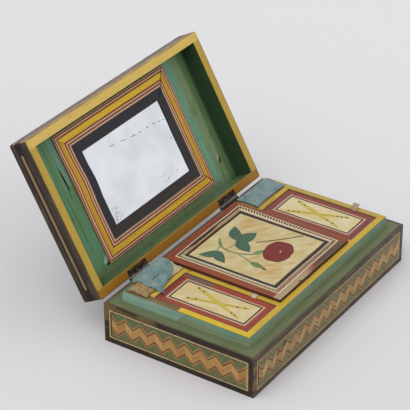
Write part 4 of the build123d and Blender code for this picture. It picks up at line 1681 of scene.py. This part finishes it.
@dataclass
class MirrorFrame:
    """The straws laid on the sloping moulding round the mirror, member by member, and its wear."""

    half: Pair = (88.25, 65.5)
    centre_y: float = 1.5
    edge_height: float = 1.8
    crest_height: float = 3.0
    crest_at: float = 17.5
    lip_height: float = 2.5
    member: float = 27.0
    lift: float = 0.15
    thick: float = 0.3
    glass: float = 1.95
    overlap: float = 0.03
    dirt_radius: float = 0.42
    # Shade of the yellow straws on the front, right, back and left member: painted sheen, lighter on the front and
    # back
    yellow_sheen_tones: tuple[float, ...] = (0.45, 0.15, 1.0, 0.05)
    bands: tuple[tuple[str, float, float], ...] = (
        ("tan", 0.0, 1.0), ("red", 1.0, 2.2), ("pink", 2.2, 3.8), ("red", 3.8, 5.0), ("yellow", 5.0, 10.6),
        ("red", 10.6, 11.9), ("pink", 11.9, 13.5), ("red", 13.5, 14.8), ("cream", 14.8, 16.6), ("black", 16.6, 27.0))
    stretches: Stretches = ((Rub((-72.0, 38.0), (72.0, 47.5), 0.55, 1.5), "#382f25"),
                            (Rub((62.0, -48.0), (72.0, 38.0), 0.45, 1.5), "#332d28"))
    open_mitres: tuple[tuple[Pair, Pair], ...] = (((72.0, 50.0), (83.5, 64.5)), ((76.0, -48.5), (87.5, -61.0)),
                                                  ((64.0, 41.0), (74.0, 50.0)))
    scratch: tuple[Pair, ...] = ((-25.0, 29.0), (15.0, 24.0), (44.0, 23.0), (62.0, 20.0))
    specks: tuple[Triple, ...] = ((57.0, 1.0, 1.5), (46.0, -29.0, 1.3), (26.0, -26.0, 1.0), (30.0, -31.0, 1.5),
                                  (0.0, -28.0, 1.0), (-53.0, -23.0, 1.4))
    strewn: int = 34
    strewn_about: Triple = (30.0, -30.0, 0.6)
    strewn_spread: Triple = (16.0, 4.5, 0.15)
    strewn_within: Pair = (60.0, -37.5)
    chips: tuple[Leaf, ...] = (Leaf((-93.6, -62.0), (-87.4, -54.4), 4.6, blunt=0.4),
                               Leaf((106.6, -46.8), (109.4, -40.4), 2.0, blunt=0.5))
    # Dark marks on the lid's paint: a split and a hole, dark with painted shade, and the painted shadow of a raised
    # chip
    cracks_and_shadow: tuple[Leaf, ...] = (Leaf((-94.4, 15.0), (-96.0, 41.0), 2.4, blunt=0.4),
                                Leaf((-91.4, -64.4), (-87.4, -61.6), 2.8, blunt=0.4),
                                Leaf((108.6, -51.0), (112.2, -43.4), 2.4, blunt=0.5))

    def rise(self, inset: float) -> float:
        """Height of the straws over the lid's ceiling: straight up to the crest, then down to the lip."""
        knots, heights = (0.0, self.crest_at, self.member), (self.edge_height, self.crest_height, self.lip_height)
        return float(np.interp(inset, knots, heights)) + self.lift

    def build(self) -> None:
        """Lays the straws of each colour on the four members."""
        finishes = {
            "tan": Straw("frame_tan_straw", "#b8906a", "#c29c78", "#8e6a4c"),
            "red": Straw("frame_red_straw", "#782e20", "#883a28", "#7d4e36"),
            "pink": Straw("frame_pink_straw", "#d6a884", "#deb492", "#b98a66"),
            "yellow": Straw("frame_yellow_straw", "#c59729", "#f2c535", "#b58526", fading=0.4),
            "cream": Straw("frame_cream_straw", "#c9a583", "#d0ae8d", "#b08a66"),
            "black": Straw("frame_black_straw", "#222026", "#2c2a2f", "#454548", place=LID, strip=5.0, fading=0.3,
                           stretches=self.stretches),
        }
        place = Place(tuple(float(c) for c in LID.at(np.array([0.0, 0.0, LID_CEILING]))), (LID.turn[0] + 180, 0, 0))
        outline = Oblong(place, (0.0, self.centre_y), self.half, (0.12, 0.2, 0.12, 0.8), 3, 33)
        stocks = {key: Stock(40 + n) for n, key in enumerate(finishes)}
        for side in range(4):
            for key, outer, inner in self.bands:
                # Painted sheen: each member's yellow straws take that member's shade.
                tone = self.yellow_sheen_tones[side] if key == "yellow" else None
                outline.straw(stocks[key], side, inner - self.overlap, outer + self.overlap, self.rise, self.thick,
                              0.05, tone=tone)
        for key, stock in stocks.items():
            stock.piece(f"mirror_frame_{key}_straws", finishes[key].material(), "lid", "frame_straw")
        # Dark finish for dirt and lost silvering, and for the painted shade in the lid's split, hole and under a
        # chip
        dark = Plain("dust_glue_and_shade", "#1b1614", "#2a211c", 3.0).material()
        self.dirt(place, dark)
        self.foxing(place, dark)
        pale = Plain("chipped_paint", "#93b3a2", "#86a088", 4.0).material()
        # The dark marks are painted shade in a split and a hole, and the painted shadow of a raised chip.
        for name, finish, marks, top in (("lid_paint_chips", pale, self.chips, 0.05),
                                         ("lid_cracks_and_shadow", dark, self.cracks_and_shadow, 0.09)):
            stock = Stock(50)
            for mark in marks:
                mark.lay(stock, place, top)
            stock.piece(name, finish, "lid", "painted_board")

    def dirt(self, place: Place, dark: Material) -> None:
        """Threads of dirt that fill the open mitres.

        Args:
            place: the plane of the lid's ceiling, with y towards the front.
            dark: their finish.
        """
        stock = Stock(48)
        for start, end in self.open_mitres:
            path = np.linspace(start, end, 9)
            inset = np.minimum(self.half[0] - np.abs(path[:, 0]), self.half[1] - np.abs(path[:, 1] - self.centre_y))
            level = np.array([self.rise(float(i)) for i in inset])
            stock.thread(place.at(np.column_stack([path, level - 0.1])), self.dirt_radius)
        stock.piece("mirror_frame_open_mitres", dark, "lid", "frame_straw")

    def foxing(self, place: Place, dark: Material) -> None:
        """The mirror's broken scratch, and its specks: some listed, and tiny ones strewn by chance.

        Args:
            place: the plane of the lid's ceiling, with y towards the front.
            dark: their finish.
        """
        stock = Stock(49)
        scratch = np.array(self.scratch)
        way = np.linspace(0.0, len(scratch) - 1.0, 17)
        line = np.column_stack([np.interp(way, np.arange(len(scratch)), scratch[:, axis]) for axis in (0, 1)])
        for near, far in zip(line[:-1:2], line[1::2]):
            far = far + (far - near) * stock.chance.uniform(-0.3, 0.7)
            Leaf(tuple(near), tuple(far), 0.6).lay(stock, place, self.glass)
        tiny = stock.chance.normal(self.strewn_about, self.strewn_spread, (self.strewn, 3))
        side, end = self.strewn_within
        inside = (np.abs(tiny[:, 0]) < side) & (tiny[:, 1] > end)
        for x, y, size in (*self.specks, *tiny[inside].tolist()):
            Leaf((x - size / 2, y), (x + size / 2, y + 0.2), size * 0.8).lay(stock, place, self.glass)
        stock.piece("mirror_lost_silvering", dark, "lid", "mirror")


@dataclass
class CentreCover:
    """The raised centre cover: a red border, lines and a dentil row round a cream panel with a rose sprig."""

    border: tuple[Pair, ...] = ((0.0, 3.6), (3.65, 7.25))
    border_proud: float = 0.02
    line_proud: float = 0.03
    overlap: float = 0.02
    tick_proud: float = 0.12
    tick_thick: float = 0.2
    dentil_pitch: tuple[float, ...] = (2.3, 3.1, 2.3, 2.1)
    skew: tuple[Pair, ...] = ((0.0, -2.4), (0.9, -1.4), (7.0, 1.2), (0.0, 0.4))
    patch: Leaf = Leaf((-46.0, 55.9), (24.0, 55.9), 3.6, blunt=0.9)
    sides: tuple[tuple[tuple[str, float, float], ...], ...] = (
        (("light", 7.3, 8.6), ("red", 8.6, 9.6), ("dentil", 9.6, 11.8), ("pink", 11.8, 13.1), ("black", 13.1, 16.7)),
        (("light", 7.3, 8.2), ("dentil", 8.2, 10.9), ("light", 10.9, 12.0), ("pink", 12.0, 13.2),
         ("black", 13.2, 16.5)),
        (("light", 7.3, 8.6), ("black", 8.6, 10.6), ("light", 10.6, 11.5), ("brown", 11.5, 12.2),
         ("orange", 12.2, 13.6), ("black", 13.6, 16.7)),
        (("light", 7.3, 8.4), ("dentil", 8.4, 11.0), ("light", 11.0, 12.0), ("grey", 12.0, 13.4),
         ("black", 13.4, 16.5)))

    def build(self) -> None:
        """Lays the border, the lines and the sprig."""
        low, high = node_box("centre_cover_border")
        place = Place((0.0, 0.0, float(high[2])))
        outline = Oblong(place, tuple((low + high)[:2] / 2), tuple((high - low)[:2] / 2), (0.25, 0.2, 0.3, 0.2), 5)
        stock = Stock(60)
        for side in range(4):
            for outer, inner in self.border:
                outline.straw(stock, side, inner, outer, self.border_proud, INLAY)
        finish = WornRed("centre_red_straw").material()
        stock.piece("centre_cover_border_straws", finish, "centre_cover", "red_straw", ["centre_cover_border"])
        self.lines(replace(outline, skew=self.skew))
        Sprig(place).build()

    def lines(self, outline: Oblong) -> None:
        """The lines inside the border, each side in its own order, and the ticks of the dentil row.

        Args:
            outline: the cover's outline, from which the insets count.
        """
        finishes = {
            "light": Straw("cover_light_straw", "#d9c49a", "#e2d0aa", "#c2a67c"),
            "dentil": Straw("cover_dentil_ground", "#d8c59c", "#dfcda8", "#c2a67c"),
            "red": Straw("cover_red_line", "#8a3a2e", "#994534", "#84563e"),
            "pink": Straw("cover_pink_line", "#d0a588", "#d8b094", "#b88a70"),
            "black": Straw("cover_black_line", "#27231f", "#322d28", "#4c463c", fading=0.3),
            "brown": Straw("cover_brown_line", "#6a4028", "#74482e", "#7a5a3c"),
            "orange": Straw("cover_orange_line", "#c98a4e", "#d39a60", "#a8794c"),
            "grey": Straw("cover_grey_line", "#b5aa94", "#bfb49e", "#8f8672"),
        }
        stocks = {key: Stock(70 + n) for n, key in enumerate(finishes)}
        ticks = Stock(90)
        for side, bands in enumerate(self.sides):
            for key, outer, inner in bands:
                outline.straw(stocks[key], side, inner - self.overlap, outer + self.overlap, self.line_proud, INLAY)
                if key == "dentil":
                    self.dentils(outline, ticks, side, outer + 0.1, inner - 0.1)
        self.patch.lay(stocks["black"], outline.place, self.tick_proud)
        for key, stock in stocks.items():
            slot, replaced = ("black_straw", ["centre_cover_stringing"]) if key == "black" else ("cream_straw", [])
            stock.piece(f"centre_cover_{key}_lines", finishes[key].material(), "centre_cover", slot, replaced)
        dark = Straw("cover_tick_straw", "#1d1712", "#2c2119", "#4a3a2a", fading=0.3).material()
        ticks.piece("centre_cover_dentils", dark, "centre_cover", "black_straw")

    def dentils(self, outline: Oblong, stock: Stock, side: int, outer: float, inner: float) -> None:
        """Dark squares of straw along a side, at that side's pitch.

        Args:
            outline: the cover's outline.
            stock: what they are added to.
            side: the side of the cover.
            outer: inset of their outer ends.
            inner: inset of their inner ends.
        """
        run = outline.half[side % 2] - inner
        count = int(2 * run / self.dentil_pitch[side])
        half = 0.3 * self.dentil_pitch[side] / run
        for middle in (np.arange(count) + 0.5) / count * 2 - 1:
            part = (middle - half, middle + half)
            short = replace(outline, stations=2)
            short.straw(stock, side, inner, outer, self.tick_proud, self.tick_thick, part=part)


@dataclass
class Sprig:
    """The rose sprig of the centre panel, cut from dyed straw and laid on the cream ground."""

    place: Place
    rose_centre: Pair = (6.0, -18.0)
    rose_half: Pair = (17.8, 13.5)
    rose_tilt: float = 10.0
    rose_power: float = 2.3
    facets: int = 8
    facet_depth: float = 0.016
    drift: Pair = (1.2, -1.0)
    tuck: float = 0.85
    # the inside and outside of each ring of petals, as shares of the rose, and its shade
    rings: tuple[Triple, ...] = ((0.0, 0.3, 0.7), (0.3, 0.52, 0.35), (0.52, 0.76, 0.6), (0.76, 1.0, 0.3))
    leaves: tuple[Leaf, ...] = (
        Leaf((-24.0, 28.0), (-39.0, 42.0), 10.8, 0.42, 2.6, 0.6),
        Leaf((-24.0, 29.0), (-38.0, 13.0), 10.4, 0.42, -2.2, 0.6),
        Leaf((2.0, 22.0), (21.8, 40.5), 12.2, 0.45, 2.4, 0.6),
        Leaf((0.0, 25.0), (23.4, 16.6), 15.0, 0.4, -1.0, 0.6),
        Leaf((5.5, 24.5), (-9.5, 3.6), 13.2, 0.45, -2.0, 0.6))
    buds: tuple[Leaf, ...] = (
        Leaf((-16.5, 30.5), (-3.5, 41.0), 3.2, 0.45, 0.8, 0.7),
        Leaf((-11.0, -0.5), (2.5, -6.0), 6.0, 0.45, -0.8, 0.6),
        Leaf((-23.5, -5.0), (-26.0, -21.5), 7.0, 0.5, 0.4, 0.8))
    stems: tuple[Leaf, ...] = (
        Leaf((-16.0, 31.5), (-17.5, 12.0), 2.0, 0.5, -1.6, 0.2, 0.85),
        Leaf((-17.5, 12.6), (-10.8, -0.6), 2.0, 0.5, -0.8, 0.2, 0.85),
        Leaf((-25.0, 30.0), (-15.5, 33.0), 1.0, 0.5, 0.5, 0.2, 0.85),
        Leaf((-17.5, 26.0), (-1.0, 23.0), 1.0, 0.5, -1.6, 0.2, 0.85),
        Leaf((-19.0, 10.0), (-23.2, -5.5), 1.2, 0.5, 0.8, 0.2, 0.85))
    brown_stem: Leaf = Leaf((8.5, 8.0), (43.0, -23.0), 1.7, 0.5, -0.8, 0.2, 0.9)
    brown_bud: Leaf = Leaf((-25.3, -19.5), (-27.2, -26.0), 3.2, 0.4)
    # A pale streak on the rose's centre: a painted highlight
    centre_glint: Leaf = Leaf((4.6, -20.6), (9.0, -19.2), 1.2, 0.5)

    def build(self) -> None:
        """Lays the leaves, the stems and the rose."""
        green = Straw("leaf_green_straw", "#405f49", "#4e6b52", "#607d5f", fading=0.3, gloss=0.38)
        pale = Straw("bud_green_straw", "#68824f", "#758f5e", "#8a9b6a", fading=0.3)
        stem = Straw("stem_straw", "#6e7e4e", "#798559", "#8a875a")
        brown = Straw("brown_stem_straw", "#65543a", "#705e42", "#84714e")
        for name, finish, leaves in (("leaves", green, self.leaves), ("buds", pale, self.buds),
                                     ("stems", stem, self.stems)):
            stock = Stock(100 + len(leaves))
            for n, leaf in enumerate(leaves):
                leaf.lay(stock, self.place, 0.14 + 0.02 * n)
            stock.piece(f"sprig_{name}", finish.material(), "centre_cover", "green_straw")
        stock = Stock(110)
        self.brown_stem.lay(stock, self.place)
        self.brown_bud.lay(stock, self.place, 0.22)
        stock.piece("sprig_brown_stem", brown.material(), "centre_cover", "dark_straw")
        self.rose()

    def rose(self) -> None:
        """The flower: rings of petals inside one faceted oval, each ring a strip bent round the centre.

        A radius is the oval's, a superellipse with slightly flattened facets, times the ring's share.
        Each ring reaches in under the next smaller one.
        """
        stock = Stock(120)
        turn = np.linspace(0, math.tau, 97)
        a, b = self.rose_half
        power = self.rose_power
        oval = (np.abs(np.cos(turn) / a) ** power + np.abs(np.sin(turn) / b) ** power) ** (-1 / power)
        oval = oval * (1 - self.facet_depth * np.cos(self.facets * turn))
        tilted = turn + math.radians(self.rose_tilt)
        spoke = np.column_stack([np.cos(tilted), np.sin(tilted)]) * oval[:, None]
        for n, (inner, outer, tone) in enumerate(self.rings):
            hub = np.array(self.rose_centre) + np.array(self.drift) * (1 - outer)
            stock.strip(self.place, hub + spoke * outer, hub + spoke * max(inner * self.tuck, 0.004),
                        0.16 + 0.03 * (4 - n), 0.25, 0.1, tone)
        finish = Straw("rose_straw", "#6d1e18", "#852c20", "#8c4234", strip=60.0, fading=0.2, gloss=0.36)
        stock.piece("sprig_rose", finish.material(), "centre_cover", "red_straw")
        # Painted highlight: a pale streak of straw on the rose's centre.
        glint = Stock(121)
        self.centre_glint.lay(glint, self.place, 0.33)
        pale = Straw("rose_glint_straw", "#d8b79a", "#e0c4a8", "#c79a80")
        glint.piece("sprig_rose_glint", pale.material(), "centre_cover", "cream_straw")


@dataclass
class SideCover:
    """A side cover: a red border, a light and a dark line, and crossed yellow rods on a cream panel."""

    side: str
    seed: int
    rods: tuple[tuple[Pair, Pair], ...]
    knots: tuple[Pair, ...]
    reds: tuple[str, str, str]
    members: tuple[tuple[int, float, float, float], ...]  # side, start, end and shade of each red straw
    stretches: Stretches = ()
    straws: tuple[Pair, ...] = ((0.0, 3.4), (3.45, 6.95))
    straw_proud: float = 0.02
    border: float = 7.05
    light: float = 8.7
    dark: float = 10.4
    line_proud: float = 0.10
    line_thick: float = 0.3
    # A dark straw round the outer edge: painted shadow of the gap between cover and edging
    rim: float = 0.75
    rim_proud: float = 0.06
    rim_thick: float = 0.2
    rod_width: float = 4.0

    def build(self) -> None:
        """Lays the border, the lines and the rods."""
        body = f"{self.side}_cover"
        low, high = node_box(f"{body}_border")
        place = Place((0.0, 0.0, float(high[2])))
        outline = Oblong(place, tuple((low + high)[:2] / 2), tuple((high - low)[:2] / 2), (0.15, 0.25, 0.15, 0.25),
                         self.seed)
        red, light, dark, rods, knots = (Stock(130 + n) for n in range(5))
        for side, start, end, tone in self.members:
            for outer, inner in self.straws:
                outline.straw(red, side, inner, outer, self.straw_proud, INLAY, part=(start, end), tone=tone)
        for side in range(4):
            # Painted shadow: a dark straw round the outer edge stands for the shade in the gap.
            outline.straw(dark, side, self.rim, 0.0, self.rim_proud, self.rim_thick)
            outline.straw(light, side, self.light, self.border, self.line_proud, self.line_thick)
            outline.straw(dark, side, self.dark, self.light + 0.05, self.line_proud, self.line_thick)
        for n, (start, end) in enumerate(self.rods):
            Leaf(start, end, self.rod_width, 0.5, 0.0, 0.12, 0.6).lay(rods, place, 0.22 + 0.1 * n)
        for x, y in self.knots:
            Leaf((x - 1.5, y - 0.5), (x + 1.5, y + 0.5), 2.0, 0.5, 0.0, 0.5).lay(knots, place, 0.42)
        dyed = Straw(f"{self.side}_red_straw", *self.reds, stretches=self.stretches)
        red.piece(f"{body}_border_straws", dyed.material(), body, "red_straw", [f"{body}_border"])
        for name, stock, slot, finish in (
                ("light_line", light, "cream_straw",
                 Straw("cover_light_line", "#c6a082", "#cfab8e", "#ab876c", strip=4.2)),
                ("dark_line", dark, "dark_straw",
                 Straw("cover_dark_line", "#352b25", "#443832", "#6a5c50", strip=4.2, fading=0.35)),
                ("rods", rods, "yellow_straw", Straw("rod_straw", "#c2ab3c", "#ccb84c", "#b8a24c")),
                ("rod_knots", knots, "dark_straw", Straw("knot_straw", "#86753a", "#766432", "#978550"))):
            stock.piece(f"{body}_{name}", finish.material(), body, slot)


# The left cover's stretch darkens the red of its back member: painted shadow of the pincushion and the edging beside
# it.
LEFT_COVER = SideCover(
    "left", 9, (((-99.5, 14.5), (-84.0, -43.5)), ((-79.5, 15.0), (-101.0, -42.5))),
    ((-98.9, 12.5), (-97.0, 5.5), (-80.4, 12.5), (-82.8, 5.6), (-97.8, -33.6), (-99.4, -38.0), (-86.8, -33.0),
     (-84.9, -40.0)), ("#9f422c", "#735c50", "#8a4438"),
    ((0, -1.0, 1.0, 0.15), (1, -1.0, 0.34, 0.0), (1, 0.34, 0.9, 1.0), (1, 0.9, 1.0, 0.5), (2, -1.0, 1.0, 0.2),
     (3, -1.0, 1.0, 0.15)), ((Rub((-112.0, 32.0), (-72.0, 42.0), 0.8, 2.0), "#7a2c22"),))
RIGHT_COVER = SideCover(
    "right", 11, (((79.6, 18.5), (101.6, -40.5)), ((101.4, 18.5), (80.6, -39.0))),
    ((80.4, 16.5), (82.2, 11.6), (83.8, 7.4), (100.6, 16.4), (97.9, 8.6), (85.8, -24.4), (83.3, -31.5),
     (97.2, -28.8), (98.7, -33.0), (100.4, -37.2)), ("#8a4435", "#844548", "#7c4a40"),
    ((0, -1.0, 1.0, 1.0), (1, -1.0, 1.0, 0.1), (2, -1.0, 1.0, 0.35), (3, -1.0, 1.0, 0.2)))


def main() -> None:
    """Builds the scene: first what carries, then what lies on it."""
    logging.basicConfig(level=logging.INFO, format="%(name)s: %(message)s")
    for part in (Studio(), Carcass(), Lid(), Covers(), Zigzags(), MirrorFrame(), CentreCover(), LEFT_COVER,
                 RIGHT_COVER):
        part.build()
        log.info("%s done", type(part).__name__)


if __name__ == "__main__":
    main()
